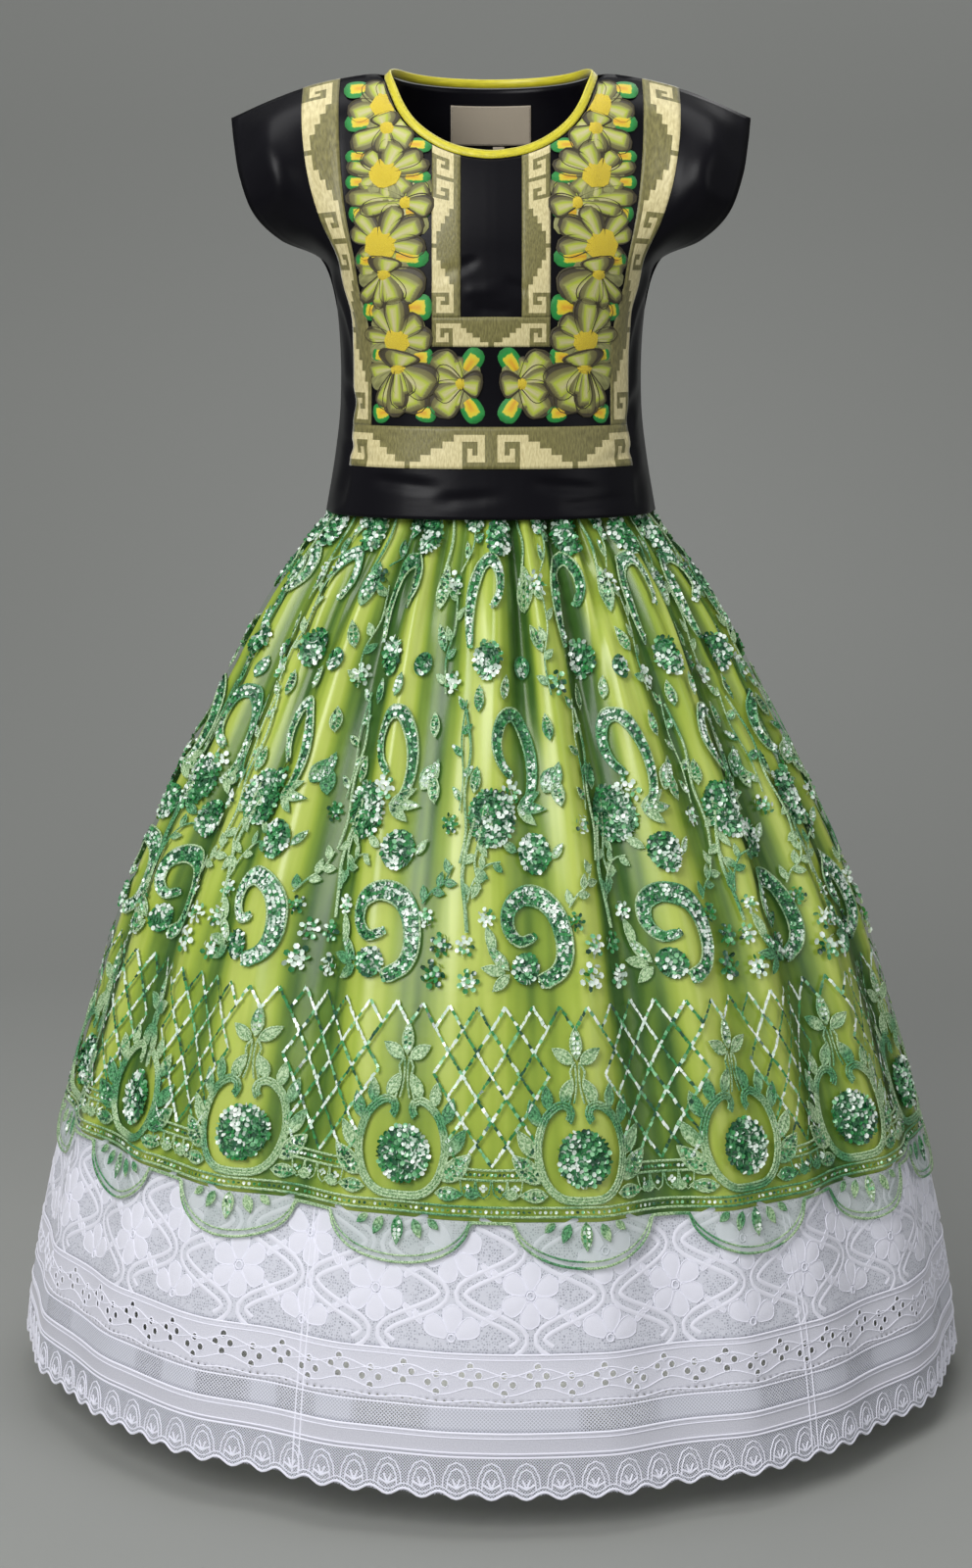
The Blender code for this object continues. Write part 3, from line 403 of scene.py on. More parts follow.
def fold_tone(angle, z):
    """How deep a place lies among its folds, for painted shade and highlight: 0.5 on the level, 1 in a
    trough, 0 on a ridge.
    """
    def depth(at):
        return read_table(SKIRT_SECTIONS, z)[..., 2] * fold_dip(at, z) + crease_dip(at, z)

    angle, z = np.broadcast_arrays(np.asarray(angle, float), np.asarray(z, float))
    around = sum(depth(angle + step) for step in (-9, -5, 5, 9)) / 4
    return np.clip(0.5 + (depth(angle) - around) / 16, 0, 1)


def satin_painted_light(angle, z):
    """The satin's painted light: painted highlight on the fold ridges and painted shade in the troughs, with
    more painted shade near the waist, where the satin lies deeper among the gathers, and on the sides turned
    away from the front.
    """
    shade_near_waist = 0.17 * blend((z + 420) / 300)
    shade_turned_away = 0.12 * blend((np.abs(wrapped(angle)) - 48) / 30)
    return np.clip(fold_tone(angle, z) + shade_near_waist + shade_turned_away - 0.09, 0, 1)


def hem_level(angle, share):
    """Height at a share of the flounce, 0 at the satin hem and 1 at the white hem."""
    lean = np.sin(np.radians(angle))
    top = SATIN_HEM + SATIN_HEM_TILT * lean
    bottom = WHITE_HEM + WHITE_HEM_TILT * lean
    return top + (bottom - top) * share


def net_level(angle, height):
    """The z of a place on the net, given as a height over the satin's hem."""
    return SKIRT_TOP + (hem_level(angle, 0) - SKIRT_TOP) * (1 - height / SKIRT_HEIGHT)


def scallop_drop(angle):
    away = angle % REPEAT - REPEAT / 2
    point = skirt_surface(angle, SATIN_HEM)
    share = np.radians(away) * np.hypot(point[..., 0], point[..., 1]) / SCALLOP_HALF_WIDTH
    return NET_HEM_EXTRA + SCALLOP_DROP * np.sqrt(np.clip(1 - share * share, 0, 1))


# The blouse's panels.

def shoulder_height(x):
    share = (x - NECK_HALF_WIDTH) / (SHOULDER_TIP_X - NECK_HALF_WIDTH)
    straight = NECK_SIDE_Z + (SHOULDER_TIP_Z - NECK_SIDE_Z) * share
    return straight + SHOULDER_CROWN * math.sin(math.pi * share)


def top_height(x, front):
    if x >= NECK_HALF_WIDTH:
        return shoulder_height(x)
    drop = NECK_FRONT_DROP if front else NECK_BACK_DROP
    return NECK_SIDE_Z - drop * math.sqrt(1 - (x / NECK_HALF_WIDTH) ** 2)


def level_depth(x, z, front):
    half_width, front_depth, back_depth = read_table(BLOUSE_SECTIONS, z)
    share = min(x / half_width, 1)
    return (front_depth if front else back_depth) * math.sqrt(1 - share**SECTION_POWER)


def upper_depth(x_low, x_top, x, z, share, front):
    base = level_depth(x_low, UNDERARM, front)
    crest = NECK_SIDE_Z if x_top < NECK_HALF_WIDTH else shoulder_height(x_top)
    rise = min(max((z - UNDERARM) / (crest - UNDERARM), 0), 1)
    rounded = (1 - rise**SHOULDER_POWER) ** SHOULDER_ROOT
    if not front and x < NECK_HALF_WIDTH:
        upright = math.sqrt(1 - (x / NECK_HALF_WIDTH) ** 2)
        rounded = rounded * (1 - upright) + (1 - BACK_NECK_LEAN * rise) * upright
    sleeve = float(blend((x_top - SLEEVE_FROM_X) / (SHOULDER_TIP_X - SLEEVE_FROM_X)))
    return base * rounded + sleeve * SLEEVE_HALF_DEPTH * math.sin(math.pi * share)


def half_panel(lines, levels, shares, front):
    """Points of half a panel, lines from the centre to the side, each from the hem to the top."""
    grid = []
    for x_chest, x_underarm, x_top in lines:
        line = []
        for z in levels:
            to_underarm = float(blend((z - CHEST_LEVEL) / (UNDERARM - CHEST_LEVEL)))
            x = x_chest + (x_underarm - x_chest) * to_underarm
            if z < 0:
                widening = read_table(BLOUSE_SECTIONS, z)[0] / WAIST_HALF_WIDTH - 1
                x *= 1 + widening * (x_chest / WAIST_HALF_WIDTH) ** 2
            line.append((x, level_depth(x, z, front), z))
        for share in shares:
            x = x_underarm + (x_top - x_underarm) * (1 - (1 - share) ** UPPER_SPREAD)
            z = UNDERARM + (top_height(x_top, front) - UNDERARM) * share
            line.append((x, upper_depth(x_underarm, x_top, x, z, share, front), z))
        grid.append(line)
    side = [(float(read_table(BLOUSE_SECTIONS, z)[0]), 0, z) for z in levels]
    for share in shares:
        x, z = read_table(SLEEVE_EDGE, share)
        side.append((float(x), SLEEVE_HALF_DEPTH * math.sin(math.pi * share), float(z)))
    grid.append(side)
    return np.array(grid)


def resample(grid, keys, at, axis):
    """Smooth curves through a grid's points along one axis, read at new places."""
    moved = np.moveaxis(grid, axis, 0)
    flat = moved.reshape(len(keys), -1)
    table = np.column_stack([np.asarray(keys, float), flat])
    read = read_table(table, at).reshape((len(at),) + moved.shape[1:])
    return np.moveaxis(read, 0, axis)


class BlousePanel:
    """A fine grid of a panel. Its places are (across, up), as the crease tables give them."""

    def __init__(self, lines, levels, shares, front, creases, columns, rows):
        half = half_panel(lines, levels, shares, front)
        half[..., 1] = np.maximum(half[..., 1], SEAM_HALF_GAP) * (-1 if front else 1)
        mirrored = half[::-1][:-1] * np.array([-1, 1, 1])
        grid = np.concatenate([mirrored, half])
        side = [row[0] for row in lines] + [SIDE_PLACE]
        across_keys = [-x for x in side[::-1]][:-1] + side
        up_keys = list(levels) + [UNDERARM + UPPER_SPAN * share for share in shares]
        self.facing = -1 if front else 1
        self.across = np.linspace(-SIDE_PLACE, SIDE_PLACE, columns)
        self.up = np.linspace(levels[0], UNDERARM + UPPER_SPAN, rows)
        fine = resample(resample(grid, up_keys, self.up, 1), across_keys, self.across, 0)
        eased = np.pad(fine, ((4, 4), (0, 0), (0, 0)), mode="edge")
        eased = sum(np.roll(eased, shift, 0) for shift in range(-4, 5))[4:-4] / 9
        near_corner = bump((np.abs(self.across) - 97) / 16)[:, None, None]
        fine = fine + (eased - fine) * near_corner
        normals = self.find_normals(fine)
        place_across, place_up = np.meshgrid(self.across, self.up, indexing="ij")
        dip = np.zeros(place_across.shape)
        for start, end, depth, half_width in creases:
            start, end = np.array(start), np.array(end)
            span = end - start
            length = np.linalg.norm(span)
            from_start = np.stack([place_across, place_up], -1) - start
            along = (from_start @ span) / length**2
            side_way = (from_start @ np.array([-span[1], span[0]])) / length
            fade = blend(along / 0.3) * blend((1 - along) / 0.45)
            dip = dip + depth * fade * bump(side_way / half_width)
        edge = np.minimum(SIDE_PLACE - np.abs(place_across), UNDERARM + UPPER_SPAN - place_up)
        dip = dip * blend(edge / 6)
        self.plain = fine
        self.points = fine - normals * dip[..., None]
        self.normals = self.find_normals(self.points)

    def find_normals(self, points):
        across = np.gradient(points, axis=0)
        along = np.gradient(points, axis=1)
        normals = unit(np.cross(across, along))
        flip = np.sign(normals[..., 1] * self.facing + 0.05)
        return normals * flip[..., None]

    def read(self, grid, across, up):
        j = np.interp(across, self.across, np.arange(len(self.across)))
        i = np.interp(up, self.up, np.arange(len(self.up)))
        j0 = np.minimum(j.astype(int), len(self.across) - 2)
        i0 = np.minimum(i.astype(int), len(self.up) - 2)
        s, t = (j - j0)[..., None], (i - i0)[..., None]
        return ((grid[j0, i0] * (1 - t) + grid[j0, i0 + 1] * t) * (1 - s)
                + (grid[j0 + 1, i0] * (1 - t) + grid[j0 + 1, i0 + 1] * t) * s)

    def at(self, across, up, out):
        across, up = np.broadcast_arrays(np.asarray(across, float), np.asarray(up, float))
        normal = unit(self.read(self.normals, across, up))
        return self.read(self.points, across, up) + normal * np.asarray(out, float)[..., None]

    def find(self, x, z):
        """The places on the panel that have this x and z, from the nearest of its grid's places."""
        x, z = np.asarray(x, float), np.asarray(z, float)
        nodes = self.plain[::2, ::2]
        away = (x[..., None] - nodes[..., 0].ravel()) ** 2 + (z[..., None] - nodes[..., 2].ravel()) ** 2
        j, i = np.divmod(away.argmin(-1), nodes.shape[1])
        across, up = self.across[::2][j], self.up[::2][i]
        for _ in range(4):
            here = self.read(self.plain, across, up)
            by_across = self.read(self.plain, across + 1, up) - here
            by_up = self.read(self.plain, across, up + 1) - here
            off_x, off_z = x - here[..., 0], z - here[..., 2]
            area = by_across[..., 0] * by_up[..., 2] - by_up[..., 0] * by_across[..., 2]
            area = np.where(np.abs(area) < 0.05, 0.05, area)
            move_across = (off_x * by_up[..., 2] - by_up[..., 0] * off_z) / area
            move_up = (by_across[..., 0] * off_z - off_x * by_across[..., 2]) / area
            across = across + np.clip(move_across, -2, 2)
            up = np.minimum(up + np.clip(move_up, -2, 2), TOP_PLACE)
        return across, up


# Meshes and materials.

def new_object(name, points, faces, material_list, face_material=None, uv=None, tone=None):
    """A mesh from points in millimetres, with uv as one place and tone as one value a point."""
    mesh = bpy.data.meshes.new(name)
    mesh.from_pydata((np.reshape(points, (-1, 3)) * MM).tolist(), [], [tuple(face) for face in faces])
    for material in material_list:
        mesh.materials.append(material)
    if face_material is not None:
        mesh.polygons.foreach_set("material_index", np.asarray(face_material, np.int32))
    if uv is not None:
        layer = mesh.uv_layers.new(name="UVMap")
        loops = np.zeros(len(mesh.loops), np.int32)
        mesh.loops.foreach_get("vertex_index", loops)
        layer.data.foreach_set("uv", (np.asarray(uv)[loops] * MM).ravel())
    if tone is not None:
        tones = mesh.attributes.new("tone", "FLOAT", "POINT").data
        tones.foreach_set("value", np.ravel(tone).astype(np.float32))
    mesh.polygons.foreach_set("use_smooth", np.ones(len(mesh.polygons), bool))
    mesh.update()
    made = bpy.data.objects.new(name, mesh)
    bpy.context.scene.collection.objects.link(made)
    return made


def grid_faces(columns, rows, closed, flip=False):
    """Quads of a grid whose points run row by row within each column."""
    last = columns if closed else columns - 1
    j, i = np.meshgrid(np.arange(last), np.arange(rows - 1), indexing="ij")
    n = (j + 1) % columns
    quads = np.stack([j * rows + i, n * rows + i, n * rows + i + 1, j * rows + i + 1], -1).reshape(-1, 4)
    return quads[:, ::-1] if flip else quads


def flat_uv(across, up):
    return np.stack(np.broadcast_arrays(across, up), -1).reshape(-1, 2)


def ring_uv(angles, heights):
    """A flat place for each point of a closed ring; the last column's seam is at the back."""
    return flat_uv(np.radians(wrapped(angles)) * UV_RADIUS, heights)


def select_only(made):
    bpy.ops.object.select_all(action="DESELECT")
    bpy.context.view_layer.objects.active = made
    made.select_set(True)


def thicken(made, thickness):
    """Give a sheet its wall, inwards from the surface that shows."""
    wall = made.modifiers.new("wall", "SOLIDIFY")
    wall.thickness = thickness * MM
    wall.offset = -1
    wall.use_rim = True
    select_only(made)
    bpy.ops.object.modifier_apply(modifier=wall.name)
    made.select_set(False)


def place(made, slot, *nodes):
    """Fasten a piece to the one body, and hide the parts of the nodes it stands for."""
    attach(made, "root")
    if nodes:
        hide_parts(*nodes)


def smooth_path(points, step, closed=False):
    """A curve through given points, with a place about every step millimetres."""
    points = np.asarray(points, float)
    count = len(points)
    parts = []
    for k in range(count if closed else count - 1):
        if closed:
            a, b, c, d = (points[(k + m) % count] for m in (-1, 0, 1, 2))
        else:
            a, b, c, d = (points[min(max(k + m, 0), count - 1)] for m in (-1, 0, 1, 2))
        places = max(1, round(float(np.linalg.norm(c - b)) / step))
        t = (np.arange(places) / places)[:, None]
        parts.append(0.5 * (2 * b + (c - a) * t + (2 * a - 5 * b + 4 * c - d) * t**2
                            + (3 * b - a - 3 * c + d) * t**3))
    if not closed:
        parts.append(points[-1:])
    return np.concatenate(parts)


def spaced(path, spacing):
    """Evenly spaced places along a path."""
    length = np.concatenate([[0], np.cumsum(np.linalg.norm(np.diff(path, axis=0), axis=1))])
    at = np.linspace(0, length[-1], max(2, round(length[-1] / spacing) + 1))
    return np.stack([np.interp(at, length, path[:, k]) for k in (0, 1)], -1)


def circle(angles):
    """Places round a circle of radius 1."""
    return np.stack([np.cos(angles), np.sin(angles)], -1)


def beside(path, distance):
    """The path moved sideways, to its left, by a distance or one for each place."""
    along = unit(np.gradient(path, axis=0))
    return path + np.stack([-along[:, 1], along[:, 0]], -1) * np.reshape(distance, (-1, 1))


class Gathered:
    """Small meshes of one kind, gathered to be made as one piece."""

    def __init__(self):
        self.points, self.faces, self.uv, self.kinds, self.count = [], [], [], [], 0

    def add(self, points, faces, uv=None, kinds=0):
        points = np.reshape(points, (-1, 3))
        faces = np.asarray(faces)
        self.points.append(points)
        self.faces.append(faces + self.count)
        self.uv.append(np.zeros((len(points), 2)) if uv is None else np.reshape(uv, (-1, 2)))
        self.kinds.append(np.broadcast_to(kinds, len(faces)))
        self.count += len(points)

    def cord(self, points, normals, width, height, closed=False, kinds=0):
        """Three-sided cords: points are paths of places, normals point off the cloth."""
        if closed:
            along = np.roll(points, -1, 1) - np.roll(points, 1, 1)
        else:
            along = np.gradient(points, axis=1)
        side = unit(np.cross(normals, along)) * (width / 2)
        rings = np.stack([points - side, points + normals * height, points + side], 2)
        paths, places = points.shape[:2]
        last = places if closed else places - 1
        n, j, k = np.meshgrid(np.arange(paths), np.arange(last), np.arange(2), indexing="ij")
        here, there = (n * places + j) * 3 + k, (n * places + (j + 1) % places) * 3 + k
        self.add(rings, np.stack([here, there, there + 1, here + 1], -1).reshape(-1, 4), kinds=kinds)

    def discs(self, centres, normals, radius, kinds, lean=0.45):
        """Sequins: shallow cups, each leaning its own way."""
        sides, sunk = 6, 0.3
        centres, normals = np.reshape(centres, (-1, 3)), np.reshape(normals, (-1, 3))
        count = len(centres)
        facing = unit(normals + RNG.normal(0, lean, (count, 3)))
        first = unit(np.cross(facing, RNG.normal(0, 1, (count, 3))))
        second = np.cross(facing, first)
        angle = np.arange(sides) * 2 * math.pi / sides
        rim = (np.cos(angle)[:, None] * first[:, None] + np.sin(angle)[:, None] * second[:, None])
        radius = np.broadcast_to(radius, count)[:, None]
        rim = centres[:, None] + rim * radius[..., None]
        points = np.concatenate([(centres - facing * radius * sunk)[:, None], rim], 1)
        base = np.arange(count)[:, None] * (sides + 1)
        k = np.arange(sides)[None, :]
        faces = np.stack([base + 0 * k, base + 1 + k, base + 1 + (k + 1) % sides], -1).reshape(-1, 3)
        self.add(points, faces, kinds=np.repeat(np.reshape(kinds, -1), sides))

    def make(self, name, material_list):
        faces = [face for block in self.faces for face in block.tolist()]
        return new_object(name, np.concatenate(self.points), faces, material_list,
                          np.concatenate(self.kinds), np.concatenate(self.uv))


def pad(origin, direction, length, width, curl, outline, rows=10, columns=7):
    """A stitched petal or leaf in a plane: its places, its height there and its own uv."""
    share = np.linspace(0, 1, rows)
    turn = np.radians(direction + curl * (share - 0.3))
    step = length / (rows - 1)
    x = origin[0] + np.concatenate([[0], np.cumsum(np.sin(turn[1:]) * step)])
    y = origin[1] + np.concatenate([[0], np.cumsum(np.cos(turn[1:]) * step)])
    half = 0.5 * width * read_table(outline, share)[:, 0]
    side = np.linspace(-1, 1, columns)
    places = np.stack([x[:, None] + (np.cos(turn) * half)[:, None] * side,
                       y[:, None] - (np.sin(turn) * half)[:, None] * side], -1)
    ends = blend(share / 0.12) * blend((1 - share) / 0.1)
    height = np.sqrt(1 - 0.92 * side**2)[None, :] * (0.45 + 0.55 * ends[:, None]) - 0.12
    return places, height, flat_uv(0.5 + 0.5 * side[None, :], share[:, None]) / MM


def rim_of(places):
    """The two sides of a pad as one closed path."""
    return np.concatenate([places[:, 0], places[::-1, -1]])


def disc(radius, rings=4, sides=16):
    """A round pad: places about its middle, a share of the radius for each, and its faces."""
    share = np.linspace(0, 1, rings + 1)[1:]
    ring = share[:, None, None] * circle(np.arange(sides) * 2 * math.pi / sides) * radius
    places = np.concatenate([np.zeros((1, 2)), ring.reshape(-1, 2)])
    shares = np.concatenate([[0], np.repeat(share, sides)])
    faces = [(0, 1 + k, 1 + (k + 1) % sides) for k in range(sides)]
    for ring_number in range(rings - 1):
        for k in range(sides):
            a, b = 1 + ring_number * sides + k, 1 + ring_number * sides + (k + 1) % sides
            faces += [(a, a + sides, b + sides), (a, b + sides, b)]
    return places, shares, np.array(faces)


class Nodes:
    """Short calls for a material's nodes. Its settings are the shader's own."""

    def __init__(self, name, **settings):
        self.material = bpy.data.materials.new(name)
        self.material.use_nodes = True
        self.tree = self.material.node_tree
        self.shader = self.tree.nodes["Principled BSDF"]
        self.feed(self.shader, **settings)

    def add(self, kind, **settings):
        node = self.tree.nodes.new(kind)
        for key, value in settings.items():
            setattr(node, key, value)
        return node

    def link(self, source, target):
        self.tree.links.new(source, target)

    def feed(self, node, **values):
        """Set or link a node's inputs, and give its first output."""
        for key, value in values.items():
            self.put(value, node.inputs[key.replace("_", " ")])
        return node.outputs[0]

    def put(self, value, socket):
        if isinstance(value, bpy.types.NodeSocket):
            self.link(value, socket)
        else:
            socket.default_value = value

    def math(self, operation, first, second=0, third=0):
        node = self.add("ShaderNodeMath", operation=operation)
        for socket, value in zip(node.inputs, (first, second, third)):
            self.put(value, socket)
        return node.outputs[0]

    def scaled(self, value, middle, factor):
        """How far a value lies past a middle, times a factor."""
        return self.math("MULTIPLY", self.math("SUBTRACT", value, middle), factor)

    def ramp(self, factor, *stops):
        node = self.add("ShaderNodeValToRGB")
        elements = node.color_ramp.elements
        while len(elements) < len(stops):
            elements.new(0.5)
        for element, (position, colour) in zip(elements, stops):
            element.position = position
            element.color = (*colour, 1)
        self.link(factor, node.inputs[0])
        return node.outputs[0]

    def step(self, factor, low, high):
        """0 below the low value, 1 above the high one."""
        return self.ramp(factor, (low, (0,) * 3), (high, (1,) * 3))

    def uv(self):
        return self.add("ShaderNodeUVMap", uv_map="UVMap").outputs[0]

    def place(self):
        return self.add("ShaderNodeTexCoord").outputs["Object"]

    def tone(self):
        return self.add("ShaderNodeAttribute", attribute_name="tone").outputs["Fac"]

    def split(self, vector):
        return self.feed(self.add("ShaderNodeSeparateXYZ"), Vector=vector).node.outputs[:2]

    def noise(self, vector, scale, detail=3):
        return self.feed(self.add("ShaderNodeTexNoise"), Scale=scale, Detail=detail, Vector=vector)

    def grain(self, across, along, detail=1):
        """Noise on the cloth's own uv, finer one way than the other."""
        stretched = self.feed(self.add("ShaderNodeMapping"), Scale=(across, along, 1), Vector=self.uv())
        return self.noise(stretched, 1, detail)

    def mixed(self, factor, first, second):
        node = self.add("ShaderNodeMix", data_type="RGBA")
        self.link(factor, node.inputs["Factor"])
        for socket, value in ((node.inputs[6], first), (node.inputs[7], second)):
            self.put((*value, 1) if isinstance(value, tuple) else value, socket)
        return node.outputs[2]

    def colour(self, source):
        self.link(source, self.shader.inputs["Base Color"])

    def cover(self, source):
        self.link(source, self.shader.inputs["Alpha"])

    def bump(self, height, strength, distance):
        bumped = self.feed(self.add("ShaderNodeBump"), Strength=strength, Distance=distance, Height=height)
        self.link(bumped, self.shader.inputs["Normal"])


def satin(name, roughness, specular, sheen, sheen_tint, *stops):
    """Satin: fine threads, with its colour going from a painted highlight on the fold ridges to painted shade
    deep in the folds.
    """
    nodes = Nodes(name, Roughness=roughness, Sheen_Weight=sheen, Sheen_Roughness=0.35,
                  Sheen_Tint=(*sheen_tint, 1), Specular_IOR_Level=specular)
    uneven = nodes.math("SUBTRACT", nodes.math("ADD", nodes.grain(16, 5, 2), nodes.grain(60, 2.5)), 1)
    tone = nodes.math("MULTIPLY_ADD", uneven, 0.75, nodes.math("MULTIPLY_ADD", nodes.tone(), 0.8, 0.1))
    nodes.colour(nodes.ramp(tone, *stops))
    threads, slubs = nodes.grain(300, 2600), nodes.grain(40, 160, 2)
    nodes.bump(nodes.math("MULTIPLY_ADD", threads, 0.5, slubs), 0.12, 0.0006)
    return nodes.material


def net_material(name, first, second, least, most):
    """Sheer net, more covering the deeper it lies in a fold: the gathered net, with painted shade in the fold
    troughs.
    """
    nodes = Nodes(name, Roughness=0.6, Sheen_Weight=0.05, Sheen_Roughness=0.5, Sheen_Tint=(0.6, 0.9, 0.6, 1),
                  Specular_IOR_Level=0.12)
    nodes.colour(nodes.ramp(nodes.noise(nodes.uv(), 60), (0.3, first), (0.7, second)))
    nodes.cover(nodes.ramp(nodes.tone(), (0.4, (least,) * 3), (0.8, (most,) * 3)))
    return nodes.material


def white_cloth(name, shade):
    nodes = Nodes(name, Roughness=0.75, Sheen_Weight=0.3, Sheen_Roughness=0.5)
    ground = nodes.grain(900, 900)
    light = shade + 0.08
    nodes.colour(nodes.ramp(ground, (0.35, (shade, shade, shade * 1.12)),
                            (0.65, (light, light, light * 1.1))))
    nodes.bump(ground, 0.25, 0.0006)
    return nodes.material


def lace_ground():
    """Lace: a fine net of many-sided holes, filled with cloth in soft patches."""
    cloth, hole = (0.66, 0.67, 0.74), (0.36, 0.37, 0.43)
    nodes = Nodes("lace_ground", Roughness=0.8, Sheen_Weight=0.2, Sheen_Roughness=0.5)
    cells = nodes.feed(nodes.add("ShaderNodeTexVoronoi", feature="DISTANCE_TO_EDGE"), Scale=430,
                       Randomness=0.6, Vector=nodes.uv()).node.outputs["Distance"]
    filled = nodes.step(nodes.noise(nodes.uv(), 90, 2), 0.56, 0.66)
    nodes.colour(nodes.mixed(filled, nodes.ramp(cells, (0.12, cloth), (0.3, hole)), cloth))
    nodes.bump(cells, -0.4, 0.0006)
    return nodes.material


def open_net(name, pitch, thread_share, solid, windows=False):
    """Net of diagonal threads that is see-through all over, or only where its tone is 1."""
    nodes = Nodes(name, Roughness=0.7, Sheen_Weight=0.2, Sheen_Roughness=0.5)
    across, up = nodes.split(nodes.uv())
    covers = []
    for operation in ("ADD", "SUBTRACT"):
        along = nodes.math("FRACT", nodes.math("DIVIDE", nodes.math(operation, across, up), pitch * MM))
        covers.append(nodes.math("LESS_THAN", along, thread_share))
    threads = nodes.math("MAXIMUM", *covers)
    nodes.colour(nodes.ramp(threads, (0, (0.46, 0.47, 0.53)), (1, (0.70, 0.71, 0.79))))
    least = nodes.math("MAXIMUM", solid, nodes.math("SUBTRACT", 1, nodes.tone())) if windows else solid
    nodes.cover(nodes.math("MAXIMUM", threads, least))
    return nodes.material


def thread(name, first, second, roughness=0.45, across=900, along=120, bump=0.5, sheen=0.35):
    """Satin stitch: close threads that catch the light unevenly."""
    nodes = Nodes(name, Roughness=roughness, Sheen_Weight=sheen, Sheen_Roughness=0.4)
    stitches = nodes.grain(across, along, 2)
    nodes.colour(nodes.ramp(stitches, (0.3, first), (0.7, second)))
    nodes.bump(stitches, bump, 0.0008)
    return nodes.material


def petal_thread():
    """Stitches along a petal: cream at its foot, then lime, then olive, and taupe round its edge."""
    nodes = Nodes("petal_thread", Roughness=0.5, Sheen_Weight=0.3, Sheen_Roughness=0.4)
    across, along = nodes.split(nodes.uv())
    from_middle = nodes.math("MAXIMUM", nodes.scaled(across, 0.66, -1.6), nodes.scaled(across, 0.66, 1.9))
    outward = nodes.math("MAXIMUM", from_middle, nodes.scaled(along, 0.66, 2.9))
    wander = nodes.scaled(nodes.grain(14, 2.6, 2), 0.5, 0.24)
    colour = nodes.ramp(nodes.math("ADD", outward, wander),
                        (0.02, (0.58, 0.53, 0.28)), (0.18, (0.52, 0.53, 0.15)), (0.34, (0.42, 0.50, 0.03)),
                        (0.48, (0.32, 0.33, 0.09)), (0.56, (0.19, 0.18, 0.055)), (0.8, (0.13, 0.115, 0.035)))
    edge = nodes.math("MAXIMUM", nodes.math("GREATER_THAN", outward, 0.8),
                      nodes.math("GREATER_THAN", across, 0.94))
    nodes.colour(nodes.mixed(edge, colour, (0.05, 0.04, 0.018)))
    nodes.bump(nodes.grain(60, 5), 0.5, 0.0007)
    return nodes.material


def leaf_thread():
    """Green round the edge, yellow within, orange along the middle."""
    nodes = Nodes("leaf_thread", Roughness=0.5, Sheen_Weight=0.3, Sheen_Roughness=0.4)
    across, along = nodes.split(nodes.uv())
    from_middle = nodes.math("MULTIPLY", nodes.math("ABSOLUTE", nodes.math("SUBTRACT", across, 0.5)), 2)
    outward = nodes.math("ADD", nodes.math("MAXIMUM", from_middle, nodes.scaled(along, 0.42, 1.85)),
                         nodes.scaled(nodes.grain(9, 9, 2), 0.5, 0.25))
    nodes.colour(nodes.ramp(outward, (0, (0.72, 0.36, 0.02)), (0.3, (0.78, 0.56, 0.02)),
                            (0.52, (0.70, 0.62, 0.04)), (0.58, (0.012, 0.30, 0.045)),
                            (1, (0.008, 0.20, 0.03))))
    nodes.bump(nodes.grain(60, 6), 0.5, 0.0007)
    return nodes.material


def twisted_thread(name, first, second, coarse=620):
    """Corded thread, lighter and darker strand by strand."""
    nodes = Nodes(name, Roughness=0.4, Sheen_Weight=0.3, Sheen_Roughness=0.4)
    strands = nodes.noise(nodes.place(), coarse, 1)
    nodes.colour(nodes.ramp(strands, (0.36, first), (0.62, second)))
    nodes.bump(strands, 0.8, 0.0009)
    return nodes.material


def changing_thread(name, coarse):
    """Thread that changes along its length between silver and emerald."""
    nodes = Nodes(name, Roughness=0.36, Sheen_Weight=0.2, Sheen_Roughness=0.4, Specular_IOR_Level=0.7)
    strands = nodes.noise(nodes.place(), coarse, 1)
    silver = nodes.ramp(strands, (0.36, (0.12, 0.28, 0.09)), (0.6, (0.55, 0.73, 0.43)))
    emerald = nodes.ramp(strands, (0.36, (0.012, 0.11, 0.03)), (0.62, (0.12, 0.42, 0.17)))
    nodes.colour(nodes.mixed(nodes.step(nodes.noise(nodes.place(), 17, 2), 0.5, 0.6), silver, emerald))
    nodes.bump(strands, 0.9, 0.0009)
    return nodes.material


def sequin_shade(name, first, second):
    nodes = Nodes(name, Roughness=0.22, Specular_IOR_Level=0.8, Coat_Weight=0.5, Coat_Roughness=0.12)
    nodes.colour(nodes.ramp(nodes.noise(nodes.place(), 160, 1), (0.35, first), (0.65, second)))
    return nodes.material


# The skirt.

def skirt_grid(angles, levels, out):
    """Points of a ring, each column's levels given by a function of the angle."""
    z = levels(angles[:, None])
    return cloth_point(np.broadcast_to(angles[:, None], z.shape), z, out), z


def even_angles(count):
    """Angles right round that start at the back, so that the seam of the uv is there."""
    return -180 + 360 * np.arange(count) / count


def ring_sheet(name, columns, levels, out, materials, thickness, row_kinds=None, tone=None):
    angles = even_angles(columns)
    points, z = skirt_grid(angles, levels, out)
    uv = ring_uv(angles[:, None], z)
    kinds = None if row_kinds is None else np.tile(row_kinds, columns)
    made = new_object(name, points, grid_faces(columns, z.shape[1], True, True), materials,
                      kinds, uv, tone=None if tone is None else tone(angles[:, None], z))
    if thickness:
        thicken(made, thickness)
    return made


def make_satin(material):
    shares = np.linspace(0, 1, 80)[None, :]

    def levels(angle):
        return SKIRT_TOP + (hem_level(angle, 0) - SKIRT_TOP) * shares

    made = ring_sheet("satin_skirt", SATIN_COLUMNS, levels, UNDER_NET, [material], SATIN_THICKNESS,
                      tone=satin_painted_light)
    place(made, "lime_satin", "skirt_satin_front", "skirt_satin_back")


